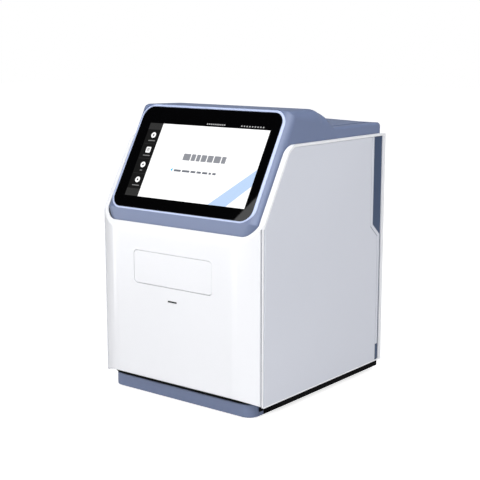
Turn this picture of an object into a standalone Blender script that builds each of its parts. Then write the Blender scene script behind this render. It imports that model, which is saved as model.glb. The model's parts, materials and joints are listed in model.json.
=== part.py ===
"""A benchtop dry chemistry analyzer with a reagent disc drawer, a sloping touch display and a printer lid.

Metres, +Z up. The front faces -Y, and the origin is on the bench, under the middle of the body.
"""

import bisect
import math

import bmesh
import bpy
from mathutils import Vector

# Clearances used all over the machine
seat_gap = 0.0003
slide_gap = 0.0006
overrun = 0.003

# White body: flat front with curved corners, flat sides, a slanted front top
body_width = 0.206
body_depth = 0.227
shell_bottom = 0.014
shell_wall = 0.003
front_corner_reach = 0.033
crease_depth = 0.013
front_underside_rise = 0.0067
underside_radius = 0.002
slant = math.radians(30.0)
ledge_top = 0.2595
ledge_front_height = 0.178
ledge_front_width = 0.0065
lip_width = 0.006
lip_thickness = 0.0022
lip_round = 0.0012
roll_height = 0.0085
roll_radius = 0.008
panel_corner_radius = 0.015
rear_plan_radius = 0.003
rear_frame_width = 0.007

# Blue-grey hood
hood_apron_top = 0.1896
hood_apron_radius = 0.003
hood_crown = 0.2908
hood_crown_radius = 0.005
hood_crown_fall = 0.0010
hump_rear_setback = 0.1035
hump_rear_radius = 0.030
deck_length = 0.0875
deck_top = 0.2707
deck_fillet = 0.0025
hood_rear_margin = 0.002
hood_rear_radius = 0.004
hood_skirt = 0.006
hood_front_wall = 0.005
hood_wall = 0.0025
deck_wall = 0.0085
apron_side_radius = 0.011
slope_side_radius = 0.009
hump_side_radius = 0.016
deck_side_radius = 0.0045
normal_window = 0.010
hood_chain_step = 0.012

# Display
glass_side_margin = 0.0140
glass_length = 0.112
glass_thickness = 0.0018
glass_radius = 0.012
glass_sink = 0.0002
glass_margin = 0.0020
bezel_chamfer = 0.0018
display_window_rim = 0.006
display_thickness = 0.009
display_back_step = 0.006
display_back_depth = 0.004
display_corner = 0.004

# Side covers' rear edge, the slate stripe and the rib that runs along it
stripe_upper_reach = 0.028
stripe_lower_reach = 0.014
stripe_bend_top = 0.163
stripe_bend_bottom = 0.1508
stripe_thickness = 0.002
stripe_recess = 0.0012
rib_upper_width = 0.0045
rib_lower_width = 0.0047
rib_end_height = 0.0316
rib_sink = 0.0001
rib_round = 0.0004
panel_edge_round = 0.0005

# Drawer
door_width = 0.101
door_height = 0.033
door_bottom = 0.1175
door_radius = 0.004
door_gap = 0.0005
door_thickness = 0.0032
tray_side_margin = 0.0035
tray_length = 0.132
tray_floor = 0.128
tray_top = 0.138
tray_radius = 0.003
disc_setback = 0.0535
disc_pocket_margin = 0.005
disc_pocket_floor = 0.130
hub_hole_radius = 0.0075
tongue_reach = 0.0032
tongue_bottom = 0.131
tongue_height = 0.003
runner_width = 0.004
rail_length = 0.130
rail_setback = 0.0055
rail_bottom = 0.128
rail_top = 0.137

# Rack and pinion that drive the drawer
gear_module = 0.0008
pinion_teeth = 16
pressure_angle = math.radians(20.0)
gear_backlash = 0.0003
dedendum_factor = 1.25
pinion_setback = 0.0285
pinion_width = 0.0036
pinion_bore_radius = 0.0018
motor_shaft_radius = 0.0014
rack_pitch_height = 0.1212
rack_front_margin = 0.012
rack_rear_margin = 0.002

# Spindle of the reagent disc
spindle_motor_radius = 0.016
spindle_motor_height = 0.0062
spindle_boss_radius = 0.0045
spindle_boss_height = 0.0016
hub_radius = 0.0068
hub_flange_height = 0.0012
hub_nose_radius = 0.004
hub_nose_height = 0.0014
hub_key_width = 0.0016
hub_key_length = 0.0018

# Drawer motor
gearmotor_width = 0.010
gearmotor_box_length = 0.009
gearmotor_can_length = 0.016
gearmotor_depth = 0.012

# Status window in the front
status_width = 0.0115
status_height = 0.0015
status_centre_height = 0.1036
status_gap = 0.0002

# Base
plinth_side_inset = 0.0115
plinth_front_inset = 0.0090
plinth_rear_inset = 0.0010
plinth_front_length = 0.0195
plinth_radius = 0.011
plinth_rear_radius = 0.006
plinth_wall = 0.003
plinth_floor = 0.003
plinth_lift = 0.001
foot_radius = 0.007
foot_height = 0.0022
foot_pocket_depth = 0.0015
foot_side_inset = 0.0215
foot_front_inset = 0.0165
foot_rear_inset = 0.0205

# Steel chassis, uprights and bridge
chassis_thickness = 0.0015
chassis_front_inset = 0.0075
chassis_rear_inset = 0.0065
chassis_radius = 0.004
rail_back = 0.0047
upright_thickness = 0.0015
upright_front_inset = 0.002
upright_length = 0.135
upright_flange = 0.010
upright_top = 0.150
bridge_thickness = 0.0015
motor_shelf_drop = 0.0004
motor_shelf_thickness = 0.0015
motor_shelf_width = 0.014

# Heater, photometer and lamp over the disc
heater_margin = 0.001
heater_thickness = 0.006
optics_offset = 0.034
optics_width = 0.044
optics_depth = 0.036
optics_height = 0.030
optics_edge = 0.002
lens_radius = 0.004
lens_hole_radius = 0.0053
lens_drop = 0.0085
lamp_radius = 0.009
lamp_fin_radius = 0.012
lamp_length = 0.028
lamp_fin_count = 5
lamp_fin_share = 0.4

# Boards and supply
board_width = 0.110
board_height = 0.100
board_bottom = 0.030
board_front_inset = 0.013
board_thickness = 0.0016
standoff_length = 0.005
standoff_radius = 0.003
standoff_inset = 0.006
chip_height = 0.002
chip_sink = 0.0004
supply_width = 0.098
supply_depth = 0.078
supply_height = 0.036
supply_rear_inset = 0.0135
supply_slot_count = 7
supply_slot_width = 0.003
supply_slot_depth = 0.001
supply_edge = 0.0015

# Rear plate, fan and sockets
rear_opening_side_margin = 0.015
rear_opening_rise = 0.010
rear_opening_drop = 0.0125
rear_opening_radius = 0.005
rear_panel_thickness = 0.002
rear_panel_recess = 0.0025
fan_share = 0.52273
fan_z = 0.150
fan_size = 0.050
fan_depth = 0.015
fan_corner = 0.004
fan_rim = 0.0015
fan_hub_radius = 0.009
fan_tip_gap = 0.001
fan_blade_count = 7
fan_blade_thickness = 0.0012
fan_blade_pitch = math.radians(38.0)
fan_root_chord_share = 0.875
fan_seat_depth = 0.003
fan_strut_width = 0.0025
fan_strut_count = 3
grille_slot_width = 0.0030
grille_slot_pitch = 0.0060
grille_rows = 7
vent_row_count = 5
vent_length = 0.060
vent_drop = 0.021
connector_z = 0.068
inlet_share = 0.68182
inlet_width = 0.0275
inlet_height = 0.0200
inlet_depth = 0.020
inlet_flange = 0.0030
inlet_flange_thickness = 0.0015
inlet_socket_width = 0.0240
inlet_socket_height = 0.0160
inlet_socket_depth = 0.016
inlet_socket_radius = 0.003
inlet_pin_length = 0.011
inlet_pin_width = 0.0020
inlet_pin_height = 0.0040
inlet_pin_spread = 0.007
inlet_pin_lift = 0.0020
switch_share = 0.29545
switch_width = 0.0130
switch_height = 0.0195
switch_depth = 0.012
switch_well_width = 0.0100
switch_well_height = 0.0160
switch_well_depth = 0.0085
rocker_width = 0.0090
rocker_height = 0.0145
rocker_depth = 0.0070
rocker_tilt = math.radians(7.0)
port_share = 0.45455
port_block_width = 0.052
port_block_height = 0.016
port_block_depth = 0.014
port_depth = 0.010
usb_width = 0.0130
usb_height = 0.0056
usb_spread = 0.016
lan_width = 0.0130
lan_height = 0.0110

# Printer under the lid
lid_side_margin = 0.0110
lid_front_setback = 0.003
lid_recess_depth = 0.0062
lid_gap = 0.0004
lid_axis_setback = 0.0102
lid_axis_drop = 0.0025
lid_barrel_radius = 0.003
lid_plate = 0.0024
lid_crown = 0.0025
lid_front_corner = 0.003
lid_pin_radius = 0.0010
lid_pin_bore = 0.0013
lid_pin_reach = 0.0050
well_side_room = 0.0045
well_wall = 0.0022
well_front_setback = 0.0153
well_rear_setback = 0.0023
well_bottom = 0.216
well_flange = 0.004
well_flange_thickness = 0.002
well_radius = 0.019
well_hole_setback = 0.0039
paper_width = 0.057
paper_radius = 0.020
paper_core_radius = 0.0065
platen_setback = 0.009
platen_z = 0.262
platen_radius = 0.0042
platen_margin = 0.0005
platen_axle_radius = 0.0015
platen_axle_reach = 0.0026
ear_thickness = 0.002
ear_gap = 0.0006
ear_length = 0.007
head_depth = 0.0105
head_height = 0.008
head_margin = 0.0005
head_fin_count = 6
head_fin_depth = 0.002
tear_bar_margin = 0.0005
tear_bar_thickness = 0.0008
tear_bar_height = 0.0024
tear_bar_teeth = 28
tear_tooth_height = 0.0008
tear_bar_setback = 0.0028

# Worked out from the sizes above
half_width = body_width / 2
half_depth = body_depth / 2
front_y = -half_depth
rear_y = half_depth
crease_y = front_y + crease_depth
flat_half = half_width - front_corner_reach
corner_radius = (front_corner_reach**2 + crease_depth**2) / (2 * crease_depth)
ledge_front_y = front_y + ledge_front_width
rear_frame_y = rear_y - rear_frame_width
stripe_upper_y = rear_y - stripe_upper_reach
stripe_lower_y = rear_y - stripe_lower_reach

hood_half = half_width - lip_width
hood_apron_y = ledge_front_y + seat_gap
hood_rear_y = rear_y - hood_rear_margin
hood_raw_bottom = ledge_front_height - 4 * hood_skirt
hump_rear_y = hood_rear_y - hump_rear_setback
deck_front_y = hood_rear_y - deck_length
glass_width = body_width - 2 * glass_side_margin

tray_half_width = door_width / 2 - tray_side_margin
tray_front_y = front_y + door_thickness + seat_gap
tray_rear_y = tray_front_y + tray_length
disc_centre_y = front_y + disc_setback
disc_pocket_radius = tray_half_width - disc_pocket_margin
heater_radius = disc_pocket_radius + heater_margin
optics_y = disc_centre_y + optics_offset
rail_start_y = front_y + rail_setback
upright_x = tray_half_width + tongue_reach + slide_gap + rail_back
pitch_radius = gear_module * pinion_teeth / 2
pinion_y = front_y + pinion_setback
pinion_z = rack_pitch_height - pitch_radius
shelf_top = pinion_z - pitch_radius - gear_module - motor_shelf_drop

base_top = shell_bottom
plinth_width = body_width - 2 * plinth_side_inset
plinth_front_y = front_y + plinth_front_inset
plinth_rear_y = rear_y - plinth_rear_inset
plinth_split_y = plinth_front_y + plinth_front_length
foot_x = plinth_width / 2 - foot_side_inset
foot_front_y = plinth_front_y + foot_front_inset
foot_rear_y = plinth_rear_y - foot_rear_inset
chassis_bottom = base_top + seat_gap
chassis_top = chassis_bottom + chassis_thickness
chassis_front_y = plinth_front_y + chassis_front_inset
chassis_rear_y = plinth_rear_y - chassis_rear_inset
upright_front_y = chassis_front_y + upright_front_inset
upright_rear_y = upright_front_y + upright_length
board_front_y = upright_front_y + board_front_inset
supply_rear_y = rear_y - supply_rear_inset

rear_opening_width = body_width - 2 * rear_opening_side_margin
rear_opening_bottom = shell_bottom + rear_opening_rise
rear_opening_top = ledge_top - rear_opening_drop
rear_panel_y = rear_y - rear_panel_recess
fan_x = -fan_share * rear_opening_width / 2
fan_bore_radius = fan_size / 2 - fan_rim
fan_blade_radius = fan_bore_radius - fan_tip_gap
vent_top = rear_opening_top - vent_drop
inlet_x = inlet_share * rear_opening_width / 2
switch_x = switch_share * rear_opening_width / 2
port_x = -port_share * rear_opening_width / 2

lid_half = hood_half - lid_side_margin
lid_front_y = deck_front_y + lid_front_setback
lid_axis_y = hood_rear_y - lid_axis_setback
lid_axis_z = deck_top - lid_axis_drop
lid_floor = deck_top - lid_recess_depth
lid_bottom = lid_floor + slide_gap
well_top = deck_top - deck_wall - seat_gap
well_half_width = paper_width / 2 + well_side_room
well_front_y = lid_front_y + well_front_setback
well_rear_y = lid_axis_y - well_rear_setback
well_hole_front_y = lid_front_y + well_hole_setback
platen_y = lid_front_y + platen_setback
platen_length = paper_width - 2 * platen_margin
head_width = paper_width + 2 * head_margin
tear_bar_width = paper_width - 2 * tear_bar_margin
tear_bar_y = lid_front_y + tear_bar_setback

# Colours as linear red, green and blue
white = (0.90, 0.91, 0.93)
pale_grey = (0.62, 0.64, 0.70)
blue_grey = (0.23, 0.28, 0.43)
slate = (0.078, 0.105, 0.178)
near_black = (0.012, 0.012, 0.014)
steel_grey = (0.55, 0.56, 0.58)
board_green = (0.02, 0.16, 0.07)
paper_white = (0.88, 0.88, 0.86)


def clear_scene():
    for item in list(bpy.data.objects):
        bpy.data.objects.remove(item, do_unlink=True)


def surface(name, colour, roughness, metallic=0.0):
    made = bpy.data.materials.new(name)
    made.use_nodes = True
    shader = made.node_tree.nodes["Principled BSDF"]
    shader.inputs["Base Color"].default_value = (*colour, 1.0)
    shader.inputs["Roughness"].default_value = roughness
    shader.inputs["Metallic"].default_value = metallic
    return made


# Outlines in a plane: corners are (u, v, radius), listed anticlockwise


def rounded(corners, steps=4):
    """The outline through the corners, each one replaced by an arc of its radius."""
    points = []
    for index, (u, v, radius) in enumerate(corners):
        corner = Vector((u, v))
        if not radius:
            points.append(corner)
            continue
        before = (Vector(corners[index - 1][:2]) - corner).normalized()
        after = (Vector(corners[(index + 1) % len(corners)][:2]) - corner).normalized()
        half_angle = before.angle(after) / 2
        centre = corner + (before + after).normalized() * radius / math.sin(half_angle)
        first = corner + before * radius / math.tan(half_angle) - centre
        last = corner + after * radius / math.tan(half_angle) - centre
        turn = first.angle_signed(last)
        for step in range(steps + 1):
            angle = math.atan2(first.y, first.x) - turn * step / steps
            points.append(centre + Vector((math.cos(angle), math.sin(angle))) * radius)
    return points


def shrunk(corners, distance):
    """The same corners with every edge moved inwards by a distance."""
    moved = []
    count = len(corners)
    for index in range(count):
        before = Vector(corners[index - 1][:2])
        here = Vector(corners[index][:2])
        after = Vector(corners[(index + 1) % count][:2])
        along_a = (here - before).normalized()
        along_b = (after - here).normalized()
        inward_a = Vector((-along_a.y, along_a.x))
        inward_b = Vector((-along_b.y, along_b.x))
        bisector = (inward_a + inward_b).normalized()
        corner = here + bisector * distance / bisector.dot(inward_a)
        turns_left = along_a.cross(along_b) > 0
        radius = corners[index][2]
        if radius:
            radius = max(radius - distance, 0.0) if turns_left else radius + distance
        moved.append((corner.x, corner.y, radius))
    return moved


def rectangle(u_low, v_low, u_high, v_high, radius=0.0):
    return [
        (u_low, v_low, radius),
        (u_high, v_low, radius),
        (u_high, v_high, radius),
        (u_low, v_high, radius),
    ]


def circle(u, v, radius, sides=32):
    turn = 2 * math.pi / sides
    return [Vector((u + radius * math.cos(k * turn), v + radius * math.sin(k * turn))) for k in range(sides)]


# Solids


def object_from(name, verts, faces, material):
    mesh = bpy.data.meshes.new(name)
    mesh.from_pydata([tuple(vert) for vert in verts], [], faces)
    working = bmesh.new()
    working.from_mesh(mesh)
    bmesh.ops.recalc_face_normals(working, faces=working.faces)
    working.to_mesh(mesh)
    working.free()
    if material:
        mesh.materials.append(material)
    made = bpy.data.objects.new(name, mesh)
    bpy.context.scene.collection.objects.link(made)
    return made


def prism(name, axis, outline, low, high, material=None):
    """A straight solid: the outline lies across the axis, as (y, z), (x, z) or (x, y)."""
    place = {
        "X": lambda point, depth: (depth, point[0], point[1]),
        "Y": lambda point, depth: (point[0], depth, point[1]),
        "Z": lambda point, depth: (point[0], point[1], depth),
    }[axis]
    count = len(outline)
    verts = [place(point, depth) for depth in (low, high) for point in outline]
    faces = [tuple(range(count)), tuple(range(count, 2 * count))]
    for k in range(count):
        after = (k + 1) % count
        faces.append((k, after, after + count, k + count))
    return object_from(name, verts, faces, material)


def box(name, low, high, material=None):
    outline = rounded(rectangle(low[0], low[1], high[0], high[1]))
    return prism(name, "Z", outline, low[2], high[2], material)


def turned(name, profile, material=None, sides=32):
    """A solid of revolution about Z from (radius, height) points; both ends close on the axis or in a flat."""
    verts = []
    faces = []
    count = len(profile)
    for side in range(sides):
        angle = 2 * math.pi * side / sides
        for radius, height in profile:
            verts.append((radius * math.cos(angle), radius * math.sin(angle), height))
    for side in range(sides):
        start = side * count
        after = (side + 1) % sides * count
        for k in range(count - 1):
            faces.append((start + k, after + k, after + k + 1, start + k + 1))
    faces.append(tuple(side * count for side in range(sides)))
    faces.append(tuple(side * count + count - 1 for side in range(sides)))
    return object_from(name, verts, faces, material)


def combine(target, tool, operation="DIFFERENCE"):
    """Cuts, joins or intersects the target with the tool, and removes the tool."""
    change = target.modifiers.new("shape", "BOOLEAN")
    change.operation = operation
    change.object = tool
    change.solver = "EXACT"
    bake(target)
    bpy.data.objects.remove(tool, do_unlink=True)
    return target


def bake(target):
    """Makes the result of the target's modifiers its own mesh."""
    graph = bpy.context.evaluated_depsgraph_get()
    graph.update()
    result = bpy.data.meshes.new_from_object(target.evaluated_get(graph))
    target.modifiers.clear()
    target.data = result
    result.name = target.name


def soften(target, width, segments=2, angle=math.radians(40.0)):
    edge = target.modifiers.new("edges", "BEVEL")
    edge.width = width
    edge.segments = segments
    edge.limit_method = "ANGLE"
    edge.angle_limit = angle
    edge.use_clamp_overlap = True
    bake(target)
    return target


def shade(target, angle=math.radians(30.0)):
    target.data.shade_smooth()
    target.data.set_sharp_from_angle(angle=angle)
    return target


def place_origin(target, point):
    """Moves the object's origin to a point without moving its surface."""
    shift = Vector(point)
    for vert in target.data.vertices:
        vert.co -= shift
    target.location = shift
    return target


def lay_on_axis(target, axis, point):
    """Turns a solid made about Z at the origin onto another axis and moves it to a point."""
    turn = {"X": (0.0, math.pi / 2, 0.0), "Y": (-math.pi / 2, 0.0, 0.0), "Z": (0.0, 0.0, 0.0)}[axis]
    target.rotation_euler = turn
    target.location = point
    return target


# White body


def slope_y(height, depth):
    """Where the slanted ledge, sunk by a depth, lies at a height."""
    return ledge_front_y + depth / math.cos(slant) + (height - ledge_front_height) * math.tan(slant)


def slope_z(y, depth):
    return ledge_front_height + (y - ledge_front_y - depth / math.cos(slant)) / math.tan(slant)


def body_side(inset):
    """The body seen from the side, in (y, z)."""
    corners = [
        (front_y, shell_bottom + front_underside_rise, underside_radius),
        (crease_y, shell_bottom, 0.0),
        (rear_y, shell_bottom, 0.0),
        (rear_y, ledge_top, rear_plan_radius),
        (slope_y(ledge_top, 0.0), ledge_top, panel_corner_radius + lip_thickness),
        (ledge_front_y, ledge_front_height, 0.0),
        (front_y, ledge_front_height - roll_height, roll_radius),
    ]
    return rounded(shrunk(corners, inset))


def body_plan(inset):
    """The body seen from above, in (x, y): a flat front with curved corners that end at the crease."""
    radius = corner_radius - inset
    half = half_width - inset
    centre_y = front_y + corner_radius
    sweep = math.asin((half - flat_half) / radius)
    steps = 7
    arc = []
    for step in range(steps + 1):
        angle = sweep * step / steps
        arc.append((flat_half + radius * math.sin(angle), centre_y - radius * math.cos(angle), 0.0))
    rear = [(half, rear_y - inset, rear_plan_radius), (-half, rear_y - inset, rear_plan_radius)]
    left = [(-x, y, no_radius) for x, y, no_radius in reversed(arc)]
    return rounded(arc + rear + left)


def body_solid(name, inset, material=None):
    side = prism(name, "X", body_side(inset), -half_width - overrun, half_width + overrun, material)
    plan = prism("plan", "Z", body_plan(inset), shell_bottom - overrun, ledge_top + overrun)
    return combine(side, plan, "INTERSECT")


def side_cover_corners(rear_edge, depth):
    """A side cover's outline in (y, z): upright front edge, slanted shoulder, level top."""
    top = ledge_top - depth
    return [
        (crease_y, shell_bottom, 0.0),
        *rear_edge(top),
        (slope_y(top, depth), top, panel_corner_radius),
        (crease_y, slope_z(crease_y, depth), 0.0),
    ]


def straight_rear(top):
    reach = rear_y + 2 * overrun
    return [(reach, shell_bottom, 0.0), (reach, top, 0.0)]


def stepped_rear(top):
    """The side cover's rear edge steps forward over the wide part of the stripe."""
    return [
        (stripe_lower_y, shell_bottom, 0.0),
        (stripe_lower_y, stripe_bend_bottom, 0.0),
        (stripe_upper_y, stripe_bend_top, 0.0),
        (stripe_upper_y, top, 0.0),
    ]


def ledge_cutter(depth):
    """Everything under the hood's ledge, sunk by a depth."""
    reach = 2 * hood_skirt
    corners = [
        (front_y - reach, -reach, 0.0),
        (rear_y + reach, -reach, 0.0),
        (rear_y + reach, ledge_top, 0.0),
        (slope_y(ledge_top, 0.0), ledge_top, panel_corner_radius + lip_thickness),
        (ledge_front_y, ledge_front_height, 0.0),
        (front_y - reach, ledge_front_height, 0.0),
    ]
    return prism("ledge", "X", rounded(shrunk(corners, depth)), -half_width - overrun, half_width + overrun)


# Hood: a side view swept across the width, whose sides roll over with a radius that changes along it


def hood_corners():
    """The hood's side view: (y, z, radius, side radius, wall of the edge that follows)."""
    crown_y = hood_apron_y + (hood_crown - hood_apron_top) * math.tan(slant)
    return [
        (hood_apron_y, hood_raw_bottom, 0.0, apron_side_radius, hood_front_wall),
        (hood_apron_y, hood_apron_top, hood_apron_radius, apron_side_radius, hood_front_wall),
        (crown_y, hood_crown, hood_crown_radius, slope_side_radius, hood_wall),
        (hump_rear_y, hood_crown - hood_crown_fall, hump_rear_radius, hump_side_radius, hood_wall),
        (deck_front_y, deck_top, deck_fillet, deck_side_radius, deck_wall),
        (hood_rear_y, deck_top, hood_rear_radius, deck_side_radius, hood_wall),
        (hood_rear_y, hood_raw_bottom, 0.0, deck_side_radius, hood_wall),
    ]


def inside_corners():
    """The same side view inside the walls: each edge moves in by its own wall, and its foot is lower."""
    corners = hood_corners()
    edges = []
    for here, after in zip(corners, corners[1:]):
        start = Vector(here[:2])
        along = (Vector(after[:2]) - start).normalized()
        edges.append((start + Vector((along.y, -along.x)) * here[4], along))
    places = [edges[0][0] - edges[0][1] * hood_skirt]
    for (start, along), (other, across) in zip(edges, edges[1:]):
        reach = (other - start).cross(across) / along.cross(across)
        places.append(start + along * reach)
    places.append(edges[-1][0] + edges[-1][1] * (Vector(corners[-1][:2]) - Vector(corners[-2][:2])).length)
    places[-1].y = places[0].y
    inside = []
    for place, (_, _, radius, side_radius, wall) in zip(places, corners):
        inner_radius = max(radius - wall, hood_wall / 2) if radius else 0.0
        inside.append((place.x, place.y, inner_radius, max(side_radius - hood_wall, hood_wall / 2), wall))
    return inside


def hood_chain(corners):
    """Points along a side view from its front foot over the top to its rear foot, with their side radii."""
    coarse = rounded([corner[:3] for corner in corners], 5)
    points = [coarse[0]]
    for start, end in zip(coarse, coarse[1:]):
        pieces = max(1, math.ceil((end - start).length / hood_chain_step))
        points += [start.lerp(end, k / pieces) for k in range(1, pieces + 1)]
    lengths = [0.0]
    for start, end in zip(points, points[1:]):
        lengths.append(lengths[-1] + (end - start).length)
    marks = []
    for corner in corners:
        nearest = min(range(len(points)), key=lambda k: (points[k] - Vector(corner[:2])).length)
        marks.append(lengths[nearest])
    radii = [blend(length, marks, [corner[3] for corner in corners]) for length in lengths]
    return points, lengths, radii


def blend(value, marks, levels):
    """Straight-line interpolation between marks."""
    k = min(max(bisect.bisect_right(marks, value) - 1, 0), len(marks) - 2)
    share = (value - marks[k]) / (marks[k + 1] - marks[k])
    return levels[k] + (levels[k + 1] - levels[k]) * min(max(share, 0.0), 1.0)


def inward_directions(points, lengths, window):
    """The inward direction at each point, averaged over a stretch of the chain."""
    directions = []
    for length in lengths:
        total = Vector((0.0, 0.0))
        for k in range(len(points) - 1):
            low = max(lengths[k], length - window)
            high = min(lengths[k + 1], length + window)
            if high > low:
                along = (points[k + 1] - points[k]).normalized()
                total += Vector((along.y, -along.x)) * (high - low)
        directions.append(total.normalized())
    return directions


def hood_solid(name, growth, hollow, material=None):
    """The hood's raw block, grown by a clearance, or the space inside its walls."""
    points, lengths, radii = hood_chain(inside_corners() if hollow else hood_corners())
    close = inward_directions(points, lengths, hood_wall)
    wide = inward_directions(points, lengths, normal_window)
    half = hood_half + growth - (hood_wall if hollow else 0.0)
    points = [point - inward * growth for point, inward in zip(points, close)]
    steps = 6
    columns = []
    for sign in (-1, 1):
        order = range(steps, -1, -1) if sign < 0 else range(steps + 1)
        for step in order:
            angle = math.pi / 2 * step / steps
            column = []
            for point, inward, radius in zip(points, wide, radii):
                here = point + inward * radius * (1 - math.cos(angle))
                column.append((sign * (half - radius * (1 - math.sin(angle))), here.x, here.y))
            columns.append(column)
    rows = len(columns[0])
    verts = [vert for column in columns for vert in column]
    faces = [tuple(range(rows)), tuple(range((len(columns) - 1) * rows, len(columns) * rows))]
    for column in range(len(columns) - 1):
        start = column * rows
        for row in range(rows):
            after = (row + 1) % rows
            faces.append((start + row, start + after, start + rows + after, start + rows + row))
    return object_from(name, verts, faces, material)


def hood_space(growth):
    """The hood's outer form down to its skirt, grown by a clearance on every side."""
    space = hood_solid("space", growth, False)
    return combine(space, ledge_cutter(hood_skirt + growth))


def on_slope(distance, depth=0.0):
    """A point of the display slope, by its distance up from the apron's top edge and its depth under the face."""
    y = hood_apron_y + distance * math.sin(slant) + depth * math.cos(slant)
    z = hood_apron_top + distance * math.cos(slant) - depth * math.sin(slant)
    return (0.0, y, z)


def on_display(target, depth):
    """Lays a solid made about the origin, facing +Z, on the display slope at a depth under it."""
    target.rotation_euler = (math.pi / 2 - slant, 0.0, 0.0)
    target.location = on_slope(glass_margin + glass_length / 2, depth)
    return target


def display_plate(name, width, length, radius, low, high, material=None):
    outline = rounded(rectangle(-width / 2, -length / 2, width / 2, length / 2, radius), 6)
    return prism(name, "Z", outline, low, high, material)


def chamfered_pocket():
    """The glass pocket, opening outwards through a chamfer."""
    growth = 2 * seat_gap
    inner = rounded(
        rectangle(
            -glass_width / 2 - seat_gap,
            -glass_length / 2 - seat_gap,
            glass_width / 2 + seat_gap,
            glass_length / 2 + seat_gap,
            glass_radius + seat_gap,
        ),
        6,
    )
    reach = bezel_chamfer + growth
    outer = rounded(
        rectangle(
            -glass_width / 2 - reach,
            -glass_length / 2 - reach,
            glass_width / 2 + reach,
            glass_length / 2 + reach,
            glass_radius + reach,
        ),
        6,
    )
    floor = -glass_sink - glass_thickness - seat_gap
    levels = [(inner, floor), (inner, -bezel_chamfer / 2), (outer, growth), (outer, overrun)]
    verts = [(point.x, point.y, height) for outline, height in levels for point in outline]
    count = len(inner)
    faces = [tuple(range(count)), tuple(range(3 * count, 4 * count))]
    for level in range(3):
        for k in range(count):
            after = (k + 1) % count
            low = level * count
            faces.append((low + k, low + after, low + count + after, low + count + k))
    return object_from("pocket", verts, faces, None)


def make_hood(material):
    hood = hood_solid("hood", 0.0, False, material)
    combine(hood, ledge_cutter(hood_skirt))
    combine(hood, hood_solid("inside", 0.0, True))
    combine(hood, on_display(chamfered_pocket(), 0.0))
    window_width = glass_width - 2 * display_window_rim
    window_length = glass_length - 2 * display_window_rim
    depth = -2 * hood_front_wall - glass_thickness
    window = display_plate("window", window_width, window_length, display_corner, depth, overrun)
    combine(hood, on_display(window, 0.0))
    lid_outline = rectangle(
        -lid_half - lid_gap,
        lid_front_y - lid_gap,
        lid_half + lid_gap,
        lid_axis_y + lid_barrel_radius + lid_gap,
        0.0,
    )
    recess = prism("recess", "Z", rounded(lid_outline), lid_floor, deck_top + overrun)
    combine(hood, recess)
    hole_outline = rectangle(
        -well_half_width + well_wall - slide_gap,
        well_hole_front_y,
        well_half_width - well_wall + slide_gap,
        well_rear_y - well_wall,
        0.0,
    )
    hole_half = platen_length / 2 + ear_gap + 2 * ear_thickness + platen_axle_reach
    ear_outline = rectangle(-hole_half, well_hole_front_y, hole_half, platen_y + ear_length, 0.0)
    for outline in (hole_outline, ear_outline):
        combine(hood, prism("hole", "Z", rounded(outline), well_top - overrun, lid_floor + overrun))
    for side in (-1, 1):
        low = side * (lid_half - overrun)
        high = side * (lid_half + lid_pin_reach + seat_gap)
        bore = prism("bore", "X", circle(lid_axis_y, lid_axis_z, lid_pin_bore, 16), min(low, high), max(low, high))
        combine(hood, bore)
    return shade(hood)


# Front moulding, side covers, stripes, ribs and rear frame


def door_corners(growth):
    return shrunk(
        rectangle(-door_width / 2, door_bottom, door_width / 2, door_bottom + door_height, door_radius),
        -growth,
    )


def status_corners(growth):
    middle = status_centre_height
    return shrunk(
        rectangle(
            -status_width / 2,
            middle - status_height / 2,
            status_width / 2,
            middle + status_height / 2,
            status_height / 3,
        ),
        -growth,
    )


def make_front_shell(material):
    shell = body_solid("front_shell", 0.0, material)
    soften(shell, lip_round, 2, math.radians(50.0))
    combine(shell, body_solid("inside", shell_wall))
    covers = rounded(side_cover_corners(straight_rear, lip_thickness))
    lowered = [(y, z - overrun) if z <= shell_bottom else (y, z) for y, z in covers]
    combine(shell, prism("covers", "X", lowered, -half_width - overrun, half_width + overrun))
    combine(shell, hood_space(seat_gap))
    reach = half_width + overrun
    rear = box("rear", (-reach, rear_frame_y, 0.0), (reach, rear_y + overrun, ledge_top + overrun))
    combine(shell, rear)
    wall = (front_y - overrun, front_y + shell_wall + overrun)
    combine(shell, prism("door", "Y", rounded(door_corners(door_gap)), *wall))
    combine(shell, prism("slot", "Y", rounded(status_corners(status_gap)), *wall))
    return shade(shell)


def make_side_cover(side, name, material):
    corners = side_cover_corners(stepped_rear, lip_thickness)
    outline = rounded(shrunk(corners, seat_gap))
    low, high = sorted((side * half_width, side * (half_width - shell_wall)))
    cover = prism(name, "X", outline, low, high, material)
    return shade(soften(cover, panel_edge_round, 1))


def make_stripe(side, name, material):
    """A recessed trim strip between the side cover and the rear frame."""
    top = ledge_top - lip_thickness
    rear = rear_frame_y
    corners = [
        (stripe_lower_y, shell_bottom, 0.0),
        (rear, shell_bottom, 0.0),
        (rear, top, 0.0),
        (stripe_upper_y, top, 0.0),
        (stripe_upper_y, stripe_bend_top, 0.0),
        (stripe_lower_y, stripe_bend_bottom, 0.0),
    ]
    face = half_width - stripe_recess
    low, high = sorted((side * face, side * (face - stripe_thickness)))
    return prism(name, "X", rounded(shrunk(corners, seat_gap)), low, high, material)


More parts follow.
